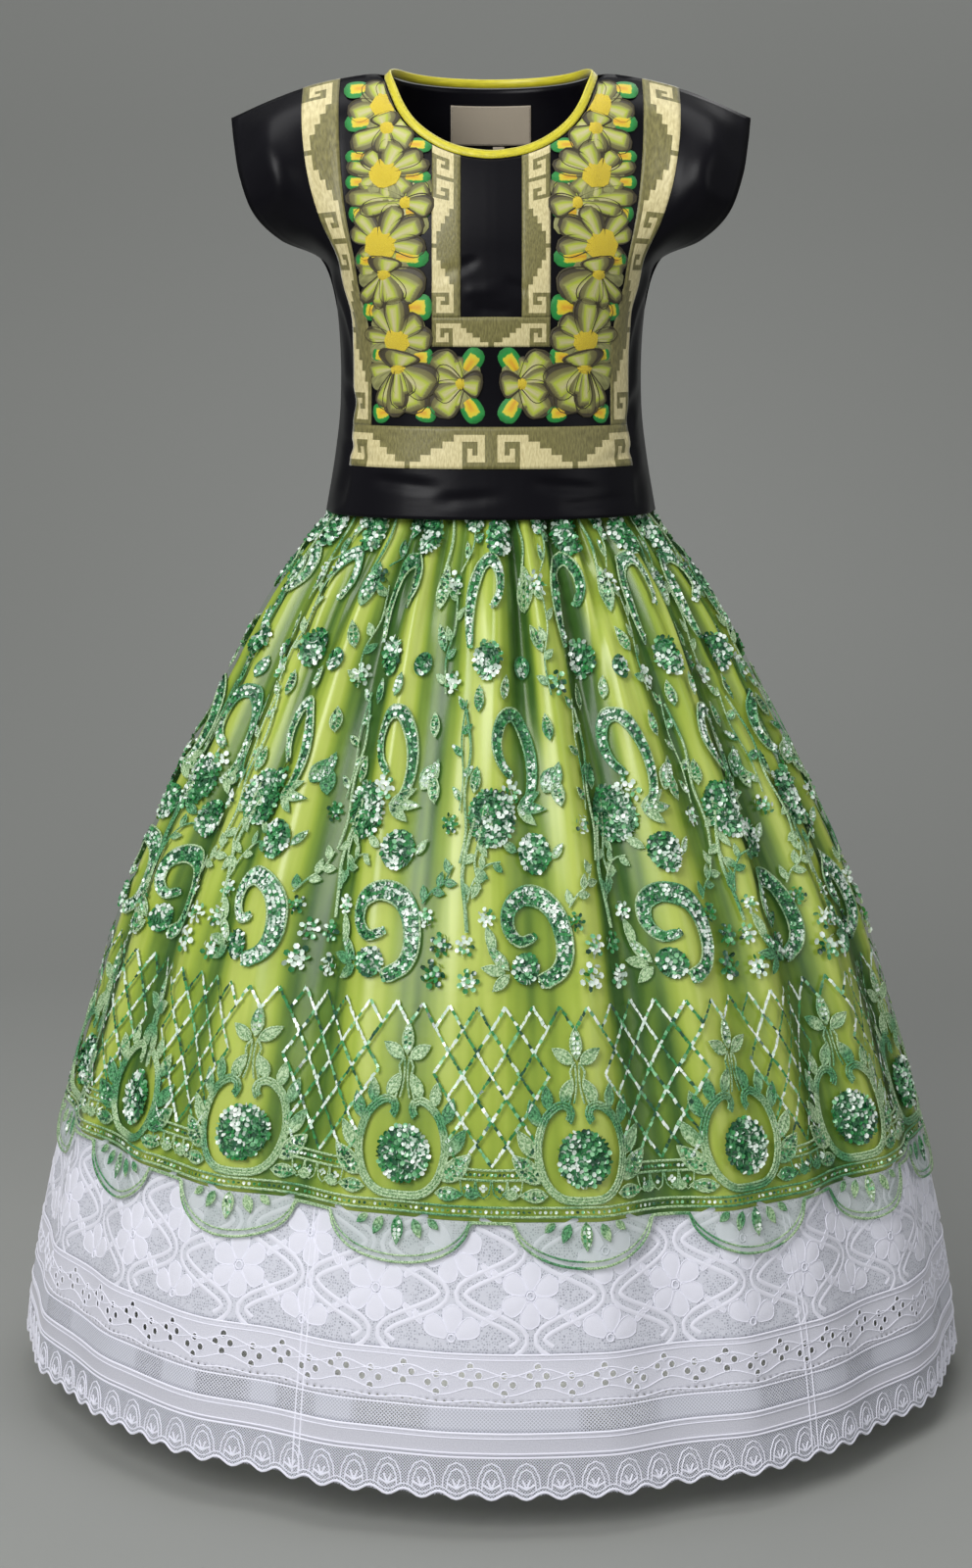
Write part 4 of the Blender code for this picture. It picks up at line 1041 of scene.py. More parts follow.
def make_net(materials):
    shares = np.linspace(0, 1, 100)[None, :]

    def levels(angle):
        body = SKIRT_TOP + (hem_level(angle, 0) - SKIRT_TOP) * shares
        drop = scallop_drop(angle)
        return np.concatenate([body] + [body[:, -1:] - drop * step for step in (0.25, 0.5, 0.75, 1)], 1)

    row_kinds = np.array([0] * 99 + [1] * 4)
    # The net's cover follows the fold depth: painted shade in the troughs.
    made = ring_sheet("net_over_skirt", NET_COLUMNS, levels, 0, materials, 0, row_kinds, fold_tone)
    place(made, "green_net", "skirt_net_overlay")


# The white flounce.

def flounce_point(angle, drop, out):
    """A place on the flounce, given as a drop in mm below the satin's hem."""
    z = hem_level(angle, np.asarray(drop, float) / FLOUNCE_DROP)
    return cloth_point(angle, z, UNDER_NET + np.asarray(out, float))


def on_flounce(anchors, places, out):
    """Points and normals of places in mm about each anchor: an angle, a drop and a mirror."""
    angle, drop, mirror = (anchors[:, k, None] for k in range(3))
    at = angle + mirror * places[..., 0] / FLOUNCE_MM_A_DEGREE
    low = drop - places[..., 1]
    z = hem_level(at, low / FLOUNCE_DROP)
    normals = skirt_normal(at, z)
    return flounce_point(at, low, 0) + normals * np.asarray(out, float)[..., None], normals


def sew_on_flounce(cords, anchors, path, width, height, closed=True):
    """A cord along a path in mm about each anchor."""
    points, normals = on_flounce(anchors, np.asarray(path, float), LOW)
    cords.cord(points, normals, width, height, closed)


def sew_level(cords, around, z, width, height):
    """A cord right round the flounce at a level for each angle."""
    points = cloth_point(around, z, UNDER_NET + LOW)
    cords.cord(points[None], skirt_normal(around, z)[None], width, height, True)


def flounce_levels(shares, rows, ripple=None):
    steps = np.linspace(shares[0], shares[1], rows)[None, :]

    def levels(angle):
        heights = hem_level(angle, steps) + np.zeros_like(angle)
        heights[:, 0] -= 0.3
        if ripple is not None:
            heights[:, -1] += ripple(angle[:, 0])
        return heights

    return levels


def flounce_sheet(name, columns, rows, shares, material, slot, node, ripple=None, tone=None):
    levels = flounce_levels(shares, rows, ripple)
    made = ring_sheet(name, columns, levels, UNDER_NET, [material], LACE_THICKNESS, None, tone)
    place(made, slot, node)


def window_tone(angle, z):
    """1 where the insertion is see-through, 0 where cloth lies behind its net."""
    inside = sum(bump(wrapped(angle - at) / half_width) for at, half_width in NET_WINDOWS)
    return blend(3 * inside) + 0 * z


def edge_ripple(angle):
    return EDGE_SCALLOP_DROP * (0.5 + 0.5 * np.cos(np.radians(angle) * EDGE_SCALLOPS + math.pi))


def make_eyelet_cloth(material):
    """The eyelet cloth, in cells: clusters of four holes by turns high and low, small holes below."""
    columns, rows = 4 * EYELET_REPEATS, 6
    half_angle = 180 / columns
    first, last = EYELET_SHARES
    angle = -180 + half_angle * np.arange(2 * columns)
    share = np.linspace(last, first, 2 * rows + 1)
    grid = cloth_point(angle[:, None], hem_level(angle[:, None], share[None, :]), UNDER_NET)
    grid[:, -1, 2] -= 0.3
    points, uvs = [grid.reshape(-1, 3)], [ring_uv(angle[:, None], share[None, :] * -FLOUNCE_DROP)]
    count, stride, faces, holes = len(points[0]), 2 * rows + 1, [], []
    for column in range(columns):
        for row in range(rows):
            a, b = 2 * column, 2 * row
            ring = [((a + i) % (2 * columns)) * stride + b + j for i, j in
                    ((0, 0), (1, 0), (2, 0), (2, 1), (2, 2), (1, 2), (0, 2), (0, 1))]
            middle = 3 if (column // 4) % 2 else 2
            in_cluster = (column % 4, row - middle) in ((0, 0), (1, 1), (2, 0), (1, -1))
            if not in_cluster and row:
                centre = (a + 1) % (2 * columns) * stride + b + 1
                faces += [(ring[k], ring[(k + 1) % 8], centre) for k in range(8)]
                continue
            radius = EYELET_RADIUS if row else LOW_HOLE_RADIUS
            at = angle[a] + half_angle
            low = share[b + 1] * FLOUNCE_DROP
            turn = np.radians(np.array([225, 270, 315, 0, 45, 90, 135, 180]))
            around = at + radius * np.cos(turn) / FLOUNCE_MM_A_DEGREE
            drops = low - radius * np.sin(turn)
            hole = flounce_point(around, drops, 0)
            points.append(hole)
            uvs.append(ring_uv(around, -drops))
            faces += [(ring[k], ring[(k + 1) % 8], count + (k + 1) % 8, count + k) for k in range(8)]
            count += 8
            if row:
                holes.append((at, low))
    made = new_object("eyelet_cloth", np.concatenate(points), faces, [material], uv=np.concatenate(uvs))
    thicken(made, LACE_THICKNESS)
    place(made, "white_lace", "flounce_eyelets_front", "flounce_eyelets_back")
    return np.array(holes)


def sew_lace(white):
    """The raised work of the floral lace: wavy ribbons with raised edges, and flowers between."""
    cords, cloth = Gathered(), Gathered()

    def sew_petal(anchor, origin, direction, length, width, curl, outline, rows, columns, rise, cord):
        places, height, uv = pad(origin, direction, length, width, curl, outline, rows, columns)
        points, _ = on_flounce(anchor, places.reshape(1, -1, 2), LOW + rise * height.reshape(1, -1))
        cloth.add(points, grid_faces(rows, columns, False, True), uv)
        sew_on_flounce(cords, anchor, rim_of(places)[None], cord, cord - 0.1)

    down = np.linspace(1, 109, 28)
    for number in range(LACE_LINES):
        anchor = np.array([[360 / LACE_LINES * number, 0, 1]])
        mirror = 1 if number % 2 else -1
        wave = mirror * LACE_WAVE * np.cos(math.pi * (down - LACE_FLOWER_DROP) / LACE_ROW_DROP)
        middle = np.stack([wave, -down], -1)
        for way in (-1, 1):
            strip = [on_flounce(anchor, beside(middle, way * off), out)[0][0]
                     for off, out in ((2.2, LOW), (3.6, 0.7), (5, 0.7), (6.4, LOW))]
            cloth.add(np.stack(strip), grid_faces(4, len(middle), False, way < 0))
    ring = circle(np.arange(8) * math.pi / 4) * EYELET_RIM
    for number in range(LACE_LINES):
        turn = 360 / LACE_LINES * (number + 0.5)
        rows = (LACE_FLOWER_DROP - LACE_ROW_DROP, LACE_FLOWER_DROP + LACE_ROW_DROP)
        for drop in rows if number % 2 else (LACE_FLOWER_DROP,):
            anchor = np.array([[turn, drop, 1]])
            lean = RNG.uniform(-12, 12)
            for direction in (lean + 60 * petal for petal in range(6)):
                turned = math.radians(direction)
                if 2 < drop - 26 * math.cos(turned) < 108:
                    sew_petal(anchor, (5 * math.sin(turned), 5 * math.cos(turned)), direction, 23, 18, 0,
                              PETAL_OUTLINE, 7, 5, 0.7, 1)
            for direction in (45, 135, 225, 315):
                turned = math.radians(direction)
                origin = (38 * math.sin(turned), 16 * math.cos(turned))
                if 10 < drop - origin[1] - 10 < 96:
                    sew_petal(anchor, origin, direction, 13, 5.5, 30, LEAF_OUTLINE, 6, 4, 0.6, 0.9)
            sew_on_flounce(cords, anchor, ring[None], 1.6, 1.4)
    place(cloth.make("lace_relief", [white]), "white_lace")
    return cords


def sew_flounce(cords, holes, white):
    """Cords of the lower bands: rims of the eyelets, vines, fans of the edge, and its rim."""
    ring = circle(np.arange(8) * math.pi / 4) * EYELET_RIM
    rims = np.concatenate([holes, np.ones((len(holes), 1))], 1)
    sew_on_flounce(cords, rims, np.broadcast_to(ring, (len(holes), 8, 2)), 1.3, 0.9)
    around = even_angles(EDGE_SCALLOPS * 8)
    waved = np.radians(around) * EYELET_REPEATS / 2
    for drop, swing, width in FLOUNCE_LINES:
        z = hem_level(around, (drop + swing * np.sin(waved)) / FLOUNCE_DROP)
        sew_level(cords, around, z, width, 0.7 * width)
    rim = hem_level(around, 1) + edge_ripple(around) + 0.8
    sew_level(cords, around, rim, 2.4, 1.5)
    sew_level(cords, around, rim + 4, 1.2, 0.8)
    fans = np.array([(360 / EDGE_SCALLOPS * k - 180, 232, 1) for k in range(EDGE_SCALLOPS)])
    for size in (1, 0.68):
        sew_on_flounce(cords, fans, (np.array(FAN_ARCH) * (size, 0.45 + 0.55 * size))[None], 1.3, 0.9, False)
    for degrees in (-62, -22, 22, 62):
        turn = math.radians(degrees)
        ray = [(far * math.sin(turn), 7 + far * math.cos(turn)) for far in (0, 4, 9)]
        sew_on_flounce(cords, fans, [ray], 1.9, 1.2, False)
    down = np.linspace(4, 228, 46)
    for at, width in FLOUNCE_SEAMS:
        for off in (-0.5 * width, 0.5 * width):
            sew_on_flounce(cords, np.array([[at, 0, 1]]), flat_uv(off, -down)[None], 1.6, 1, False)
    place(cords.make("flounce_cords", [white]), "white_lace")


def make_flounce(lace, ribbon):
    raised = white_cloth("raised_lace", 0.84)
    filled = white_cloth("filled_lace", 0.76)
    flounce_sheet("floral_lace", NET_COLUMNS, 30, LACE_SHARES, lace_ground(), "white_lace", "flounce_lace")
    holes = make_eyelet_cloth(lace)
    insertion = open_net("insertion_net", 3.2, 0.3, 0.2, True)
    flounce_sheet("net_insertion", NET_COLUMNS, 6, INSERTION_SHARES, insertion, "white_lace",
                  "flounce_net_insertion", None, window_tone)
    flounce_sheet("ribbon_band", NET_COLUMNS, 6, RIBBON_SHARES, ribbon, "white_ribbon", "flounce_ribbon_band")
    edging = open_net("edge_net", 2.6, 0.27, 0.12)
    flounce_sheet("edge_lace", EDGE_COLUMNS, 10, EDGE_SHARES, edging, "white_lace", "flounce_edge_lace",
                  edge_ripple)
    sew_flounce(sew_lace(filled), holes, raised)


def make_waistband(material):
    half_width, half_depth, _ = SKIRT_SECTIONS[0][1:]
    angles = even_angles(WAISTBAND_COLUMNS)
    up = np.linspace(-WAISTBAND_HALF_HEIGHT, WAISTBAND_HALF_HEIGHT, 7)
    gathers = 0.5 * np.sin(np.radians(angles) * 84) + 0.3 * np.sin(np.radians(angles) * 53 + 1)
    edge = 1 - (np.abs(up) / WAISTBAND_HALF_HEIGHT) ** 4
    out = -0.7 + gathers[:, None] * edge[None, :]
    turn = np.radians(angles)[:, None]
    points = np.stack([(half_width + out) * np.sin(turn), -(half_depth + out) * np.cos(turn),
                       np.broadcast_to(up, out.shape)], -1)
    uv = ring_uv(angles[:, None], up[None, :])
    made = new_object("gathered_waistband", points, grid_faces(WAISTBAND_COLUMNS, 7, True), [material],
                      uv=uv, tone=np.full(out.shape, 0.5))
    thicken(made, WAISTBAND_THICKNESS)
    place(made, "lime_satin", "waistband")


# The net's embroidery.

def on_skirt(anchors, places, out):
    """Points and normals on the net of places in mm about each anchor: an angle, a height and a mirror."""
    angle, height, mirror = (anchors[:, k, None] for k in range(3))
    x, y = places[:, 0] * mirror, height + places[:, 1]
    section = read_table(SKIRT_SECTIONS, net_level(angle, y))
    squeeze = np.sqrt(0.5 * (section[..., 0] + section[..., 1]) / SQUEEZE_RADIUS)
    speed = np.hypot(section[..., 0] * np.cos(np.radians(angle)), section[..., 1] * np.sin(np.radians(angle)))
    at = angle + np.degrees(x * squeeze / speed)
    z = net_level(at, y)
    across = cloth_point(at + 0.4, z, 0) - cloth_point(at - 0.4, z, 0)
    along = cloth_point(at, z + 2, 0) - cloth_point(at, z - 2, 0)
    normals = unit(np.cross(across, along))
    return cloth_point(at, z, 0) + normals * out, normals


def anchors_at(angle, height, mirror=1):
    """Anchors on the net, with heights over the satin's hem."""
    return np.stack(np.broadcast_arrays(angle, height, mirror), -1)


def ring_of(phase, height, mirror=1):
    """One anchor in each repeat round the skirt."""
    return anchors_at(phase + REPEAT * np.arange(SCALLOPS), height, mirror)


def leaf_line(x, y, direction, length, width):
    share = np.linspace(0, 1, 6)[1:-1]
    half = width / 2 * np.sin(np.pi * share**0.85)
    turn = math.radians(direction)
    right = np.stack([half, share * length], -1)
    left = right[::-1] * np.array([-1, 1])
    shape = np.concatenate([[[0, 0]], right, [[0, length]], left])
    spin = np.array([[math.cos(turn), -math.sin(turn)], [math.sin(turn), math.cos(turn)]])
    return shape @ spin + np.array([x, y])


def pale_or_green(pale, shape):
    """Shades at random, pale where asked and green elsewhere."""
    return np.where(pale, RNG.choice(4, shape, p=PALE_WORK), RNG.choice(4, shape, p=GREEN_WORK))


class NetWork:
    """The sequins and cords sewn on the net."""

    def __init__(self):
        self.cords, self.sequins, self.stitches, self.lattice = Gathered(), Gathered(), Gathered(), []

    def cord(self, anchors, path, width=2, closed=False, step=5):
        points, normals = on_skirt(anchors, smooth_path(path, step, closed), 0.4)
        self.cords.cord(points, normals, width, 0.6 * width, closed)

    def shades(self, points, work):
        """Shades at random, and for mixed work pale in some patches and green in others."""
        if work is not MIXED_WORK:
            return RNG.choice(4, points.shape[:2], p=work)
        x, y, z = (points[..., k] for k in range(3))
        patch = np.sin(x / 23 + 1.3) * np.sin(z / 31 + 0.4) + 0.6 * np.sin(y / 27 + z / 52)
        pale = patch + RNG.normal(0.25, 0.45, patch.shape) > 0
        return pale_or_green(pale, patch.shape)

    def row(self, anchors, path, spacing, work, radius):
        """Sequins along a path, with shades at random from the shares given."""
        self.scatter(anchors, spaced(path, spacing), work, radius)

    def scatter(self, anchors, places, work, radius):
        points, normals = on_skirt(anchors, places, 1.1)
        self.sequins.discs(points, normals, radius, self.shades(points, work))

    def pompon(self, anchors, x, y, radius, spacing=4.1, lean=0.6):
        """A round of sequins, pale on one side and green on the other."""
        rings = [np.zeros((1, 2))]
        for k in range(1, int(radius / spacing) + 1):
            rings.append(circle((np.arange(6 * k) + 0.5 * (k % 2)) * math.pi / (3 * k)) * k * spacing)
        places = np.concatenate(rings)
        places = places + RNG.normal(0, 0.5, places.shape)
        points, normals = on_skirt(anchors, places + np.array([x, y]), 1.5)
        toward = RNG.uniform(0, 2 * math.pi, (len(anchors), 1))
        side = np.cos(toward) * places[:, 0] + np.sin(toward) * places[:, 1]
        pale = side + RNG.normal(0, 0.3 * radius, side.shape) > -0.1 * radius
        self.sequins.discs(points, normals, 2.6, pale_or_green(pale, side.shape), lean=lean)
        round_places, _, faces = disc(0.93 * radius, 2, 14)
        points, _ = on_skirt(anchors, round_places + np.array([x, y]), 0.55)
        for anchor, ground in zip(anchors, points):
            self.stitches.add(ground, faces if anchor[2] > 0 else faces[:, ::-1], kinds=1)

    def flower(self, anchors, x, y, radius):
        """A small flower of sequins: a middle and seven petals of two sequins each."""
        petals = [circle(np.arange(7) * 2 * math.pi / 7) * radius * share for share in (0.48, 0.86)]
        places = np.concatenate([np.zeros((1, 2))] + petals) + np.array([x, y])
        points, normals = on_skirt(anchors, places, 1.3)
        pale = RNG.random((len(anchors), 1)) < 0.6
        self.sequins.discs(points, normals, 0.27 * radius, pale_or_green(pale, points.shape[:2]))

    def leaf(self, anchors, x, y, direction, length, width, work=None, cord=1.7):
        """A leaf outlined in cord, filled with flat stitches and, where work is given, sequins."""
        line = leaf_line(x, y, direction, length, width)
        places, _, uv = pad((x, y), direction, length, 0.95 * width, 0, NET_LEAF_OUTLINE, 6, 3)
        points, _ = on_skirt(anchors, places.reshape(-1, 2), 0.35)
        for anchor, pad_points in zip(anchors, points):
            self.stitches.add(pad_points, grid_faces(6, 3, False, anchor[2] > 0), uv)
        self.cord(anchors, line, cord, True, 5)
        middle = np.array([line[0], line[5]])
        if work is None:
            self.cord(anchors, middle, 1.2, step=7)
            return
        turn = math.radians(direction)
        aside = np.array([math.cos(turn), -math.sin(turn)])
        rows = max(1, int(width / 5))
        for k in range(rows):
            off = (k - (rows - 1) / 2) * 4
            reach = 0.84 - 0.3 * abs(off) / width
            row = middle[0] + (middle[1] - middle[0]) * np.array([[1 - reach], [reach]]) + aside * off
            self.row(anchors, row, 3.8, work, 1.9)

    def paisley(self, anchors, path, widths, work, wide=False):
        """A hooked band: rows of sequins with a cord round them."""
        line = smooth_path(path, 4)
        share = np.linspace(0, 1, len(line))
        half = read_table(widths, share)[:, 0] / 2
        rim = np.concatenate([beside(line, half), beside(line, -half)[::-1]])
        self.cord(anchors, rim[::2], 2.1, True, 5)
        band = np.stack([beside(line, -half), line, beside(line, half)])
        points, _ = on_skirt(anchors, band.reshape(-1, 2), 0.45)
        for ground in points:
            self.stitches.add(ground, grid_faces(3, len(line), False, True), kinds=1)
        for side in (-0.66, -0.22, 0.22, 0.66) if wide else (-0.5, 0.5):
            self.row(anchors, beside(line, half * side), 3.6, work, 2.25)

    def sprig(self, anchors, path, side_leaves, length=17, width=7, work=None, cord=2.2):
        """A stem with leaves turned out from it on both sides by turns."""
        line = smooth_path(path, 4)
        self.cord(anchors, path, cord)
        along = unit(np.gradient(line, axis=0))
        for k in range(side_leaves):
            at = int((k + 0.8) / (side_leaves + 0.3) * (len(line) - 1))
            heading = math.degrees(math.atan2(along[at, 0], along[at, 1]))
            side = 48 if k % 2 else -48
            self.leaf(anchors, line[at, 0], line[at, 1], heading + side, length, width, work, 1.4)


def sew_border(work):
    """The cords along the hem and its scallops, and what hangs between the frames."""
    count = 560
    angles = even_angles(count)

    def level_ring(height, out):
        return on_skirt(anchors_at(angles, height), np.zeros((1, 2)), out)

    for height, width in ((12.5, 2.2), (4.5, 2.4)):
        points, normals = level_ring(height, 0.4)
        work.cords.cord(points[None, :, 0], normals[None, :, 0], width, 0.6 * width, True)
    points, normals = level_ring(8.5, 1)
    work.sequins.discs(points, normals, 1.7, RNG.choice(4, count, p=MIXED_WORK))
    around = even_angles(SCALLOPS * 60)
    for inset, width in ((1.4, 2.6), (7, 1.8)):
        z = hem_level(around, 0) - np.maximum(scallop_drop(around) - inset, 0.6)
        points = cloth_point(around, z, 0.5)
        outward = unit(points * np.array([1, 1, 0]))
        work.cords.cord(points[None], outward[None], width, 0.7 * width, True)
    middle = ring_of(REPEAT / 2, 0)
    work.leaf(middle, 0, 0, 180, 25, 10, PALE_WORK)
    for side in (-1, 1):
        work.leaf(middle, side * 15, -2, 180 + side * -24, 17, 8)
        work.leaf(middle, side * 29, -1, 180 + side * -50, 12, 6)
        work.leaf(middle, side * 34, 23, side * 90, 26, 12, GREEN_WORK)
        work.leaf(middle, side * 62, 24, side * 90, 14, 9)
    between = ring_of(0, 0)
    for height in (46, 37):
        work.cord(between, ((-32, height), (0, height - 1), (32, height)), 2.4)
    work.row(between, np.array([(-31, 41), (31, 41)]), 3.8, MIXED_WORK, 1.7)
    for x in (-22, -7.5, 7.5, 22):
        work.scatter(between, np.array([[x, 31], [x, 27], [x - 2.5, 29], [x + 2.5, 29]]), PALE_WORK, 1.9)
        work.cord(between, ((x - 7, 36), (x - 5, 24), (x, 20), (x + 5, 24), (x + 7, 36)), 1.5)


def sew_frames(work):
    """The round frames over the scallops, with leaves outside and a pompon within."""
    middle = ring_of(REPEAT / 2, 18)
    for mirror in (-1, 1):
        half = ring_of(REPEAT / 2, 18, mirror)
        line = smooth_path(FRAME_HALF, 3)
        for off, width in ((-2.6, 2.6), (0, 2.8), (2.6, 2.6)):
            work.cord(half, beside(line, off)[::2], width)
        for x, y, direction, length, width, filled in FRAME_LEAVES:
            work.leaf(half, x, y, direction, length, width, GREEN_WORK if filled else None, 2)
        work.cord(half, ((10, 84), (7, 94), (5, 104), (7, 114), (2, 122)), 2.2)
        work.cord(half, ((5, 86), (2.5, 96), (1.5, 108), (2, 120)), 1.8)
    work.leaf(middle, 0, 124, 0, 29, 11, PALE_WORK, 2)
    work.pompon(middle, 2, 37, 27)


def sew_lattice(work):
    """Crossing lines of long sequins, left out behind the frames."""
    lines, sequins, low, half = 6, 5, 48, 20
    pitch = REPEAT / lines
    share = (np.arange(sequins) + 0.5) / sequins
    for lean in (-1, 1):
        cosine, sine = math.cos(LATTICE_TURN), math.sin(LATTICE_TURN * lean)
        turned = LONG_SEQUIN @ np.array([[cosine, -sine], [sine, cosine]])
        for k in range(SCALLOPS * lines):
            for step in range(7):
                angle = pitch * (k + lean * 0.5 * step)
                bottom = low + half * step
                middle = REPEAT / 2 + REPEAT * round((angle - REPEAT / 2) / REPEAT)
                from_frame = abs(wrapped(angle + lean * pitch / 4 - middle))
                if from_frame < 6.4 and bottom < 104 or from_frame < 3.4 and bottom < 160:
                    continue
                chosen = PALE_WORK if (k * 7 + step * 3 + int(lean)) % 5 < 3 else GREEN_WORK
                line = anchors_at(angle + lean * pitch / 2 * share, bottom + half * share)
                points, _ = on_skirt(line, turned, 0.9)
                work.lattice.append((points, RNG.choice(4, sequins, p=chosen)))


def sew_rows(work):
    """The rows of paisleys, pompons, flowers and stems up the skirt."""
    low = ring_of(REPEAT / 2 - 4.6, 248)
    work.paisley(low, PAISLEY_LOW, PAISLEY_LOW_WIDTH, MIXED_WORK, True)
    work.pompon(low, -13, -27, 15)
    for x, y, direction, length, width in ((-30, -28, -45, 30, 10), (-34, -30, -80, 24, 9),
                                           (-30, -32, -130, 22, 9), (-44, -12, -20, 24, 9)):
        work.leaf(low, x, y, direction, length, width, PALE_WORK if width > 9.5 else None, 1.9)
    for x, y, radius in ((60, -8, 10.5), (85, -8, 9.5), (54, -34, 12.5), (90, -38, 10.5),
                         (42, 14, 8.5), (-52, 18, 8.5)):
        work.flower(low, x, y, radius)
    work.cord(low, ((86, 4), (82, 28), (77, 54), (80, 80), (86, 104)), 3.6)
    work.sprig(low, ((84, 30), (88, 46), (100, 62), (116, 66)), 4, 13, 6)
    work.sprig(low, ((36, 26), (46, 38), (58, 46), (66, 62)), 5, 14, 7)
    small = ring_of(REPEAT / 2 - 4.2, 320)
    work.pompon(small, 0, 0, 19.5)
    work.leaf(small, 20, -4, 40, 18, 7, PALE_WORK)
    work.leaf(small, -20, 2, -60, 18, 8)
    work.sprig(small, ((-54, 44), (-60, 16), (-66, -8), (-60, -30)), 6, 16, 7)
    big = ring_of(0, 352)
    work.pompon(big, 0, 0, 27, 4.1, 0.7)
    for direction, length in ((62, 30), (92, 34), (126, 26)):
        work.leaf(big, 30, 8, direction, length, 9, PALE_WORK if length > 32 else None)
    work.leaf(big, 62, 22, 30, 26, 18, PALE_WORK, 1.8)
    work.leaf(big, 80, 10, -14, 28, 13, GREEN_WORK, 1.8)
    work.cord(big, ((-34, -40), (-28, -12), (-30, 22), (-24, 60), (-30, 96)), 2.6)
    work.flower(big, -46, -6, 9)
    middle = ring_of(4, 408)
    work.paisley(middle, PAISLEY_MIDDLE, PAISLEY_THIN_WIDTH, MIXED_WORK)
    work.flower(middle, -4, -34, 11)
    for x, y, direction, filled in ((-46, -34, 10, True), (48, -30, 14, False), (46, 12, -10, True),
                                    (-40, 38, 4, True)):
        work.leaf(middle, x, y, direction, 24, 11, GREEN_WORK if filled else PALE_WORK, 1.4)
    work.sprig(middle, ((-62, -50), (-58, -20), (-60, 14), (-54, 48)), 5, 15, 6.5, MIXED_WORK, 1.6)
    upper = ring_of(-1.5, 500)
    work.pompon(upper, 4, -8, 17)
    work.pompon(upper, 50, -14, 12)
    work.flower(upper, -40, -28, 11)
    work.leaf(upper, -54, -2, -20, 26, 11, GREEN_WORK, 1.5)
    work.leaf(upper, 24, -44, 10, 22, 10, PALE_WORK, 1.5)
    work.sprig(upper, ((84, -40), (78, -8), (84, 24), (78, 56)), 5, 15, 7, None, 1.8)
    high = ring_of(-1.5, 544)
    work.paisley(high, PAISLEY_HIGH, PAISLEY_THIN_WIDTH, MIXED_WORK)
    work.leaf(high, 58, -8, 0, 40, 18, MIXED_WORK, 1.6)
    work.flower(high, -46, 16, 11)
    top = ring_of(2.5, 602)
    work.pompon(top, 0, 0, 19)
    work.pompon(top, 68, 18, 15)
    work.sprig(top, ((-58, -30), (-40, -10), (-38, 20), (-48, 50)), 4, 17, 7, PALE_WORK, 1.8)
    work.cord(top, ((34, -34), (38, -6), (32, 24), (40, 62)), 2.6)
    work.pompon(ring_of(12, 648), 0, 0, 15)


def make_net_embroidery():
    work = NetWork()
    sew_border(work)
    sew_frames(work)
    sew_rows(work)
    sew_lattice(work)
    points, kinds = (np.concatenate(part) for part in zip(*work.lattice))
    points = points + RNG.normal(0, 0.35, points.shape)
    corners = np.arange(len(points) * 4).reshape(-1, 4)
    work.sequins.add(points, corners, kinds=kinds)
    shades = [sequin_shade("mint_white_sequins", (0.66, 0.84, 0.70), (0.93, 1, 0.92)),
              sequin_shade("mint_sequins", (0.14, 0.46, 0.20), (0.30, 0.66, 0.34)),
              sequin_shade("emerald_sequins", (0.015, 0.19, 0.045), (0.05, 0.33, 0.09)),
              sequin_shade("dark_sequins", (0.004, 0.055, 0.02), (0.012, 0.12, 0.045))]
    place(work.sequins.make("net_sequins", shades), "green_net")
    silver = changing_thread("changing_thread", 620)
    place(work.cords.make("net_cords", [silver]), "green_net")
    fillings = [changing_thread("leaf_filling", 420),
                twisted_thread("motif_ground", (0.008, 0.085, 0.025), (0.05, 0.24, 0.09), 500)]
    place(work.stitches.make("net_stitches", fillings), "green_net")


# The blouse.

def make_panel(name, panel, material, node):
    across, up = np.meshgrid(panel.across, panel.up, indexing="ij")
    faces = grid_faces(len(panel.across), len(panel.up), False, panel.facing > 0)
    made = new_object(name, panel.points, faces, [material], uv=flat_uv(across, up))
    thicken(made, SATIN_PANEL_THICKNESS)
    place(made, "black_satin", node)


def even_up(panel, across, start, end, sizes):
    """Places up a panel whose spacing on the cloth follows a chart's row sizes."""
    up = np.linspace(start, end, 400)
    points = panel.at(across, up, 0)
    length = np.concatenate([[0], np.cumsum(np.linalg.norm(np.diff(points, axis=0), axis=1))])
    wanted = np.concatenate([[0], np.cumsum(sizes)]) / sum(sizes) * length[-1]
    return np.interp(wanted, length, up)


def fret_band(name, panel, across, up, olive, threads, node):
    """A stitched band: the edges of its cells across and up the panel, and which are olive."""
    split = 2
    fine_across = np.interp(np.arange(split * (len(across) - 1) + 1) / split, np.arange(len(across)), across)
    fine_up = np.interp(np.arange(split * (len(up) - 1) + 1) / split, np.arange(len(up)), up)
    cells = np.repeat(np.repeat(olive, split, 0), split, 1).astype(int)
    around = np.pad(cells, 1, mode="edge")
    corners = np.stack([around[:-1, :-1], around[1:, :-1], around[:-1, 1:], around[1:, 1:]])
    out = 1.6 - 0.4 * (corners.max(0) - corners.min(0))
    out[[0, -1], :] = 1.25
    out[:, [0, -1]] = 1.25
    place_across, place_up = np.meshgrid(fine_across, fine_up, indexing="ij")
    points = panel.at(place_across, place_up, out)
    faces = grid_faces(len(fine_across), len(fine_up), False)
    made = new_object(name, points, faces, threads, cells.ravel(), flat_uv(place_across, place_up))
    thicken(made, BAND_THICKNESS)
    place(made, "fret_thread", node)


def chart_rows(*parts):
    """The rows and sizes of a chart, from halves that run up or down."""
    rows = [row for part in parts for row in part]
    return [row for row, _ in rows], [size for _, size in rows]


def chart_cells(rows):
    return np.array([[letter == "o" for letter in row] for row in rows])


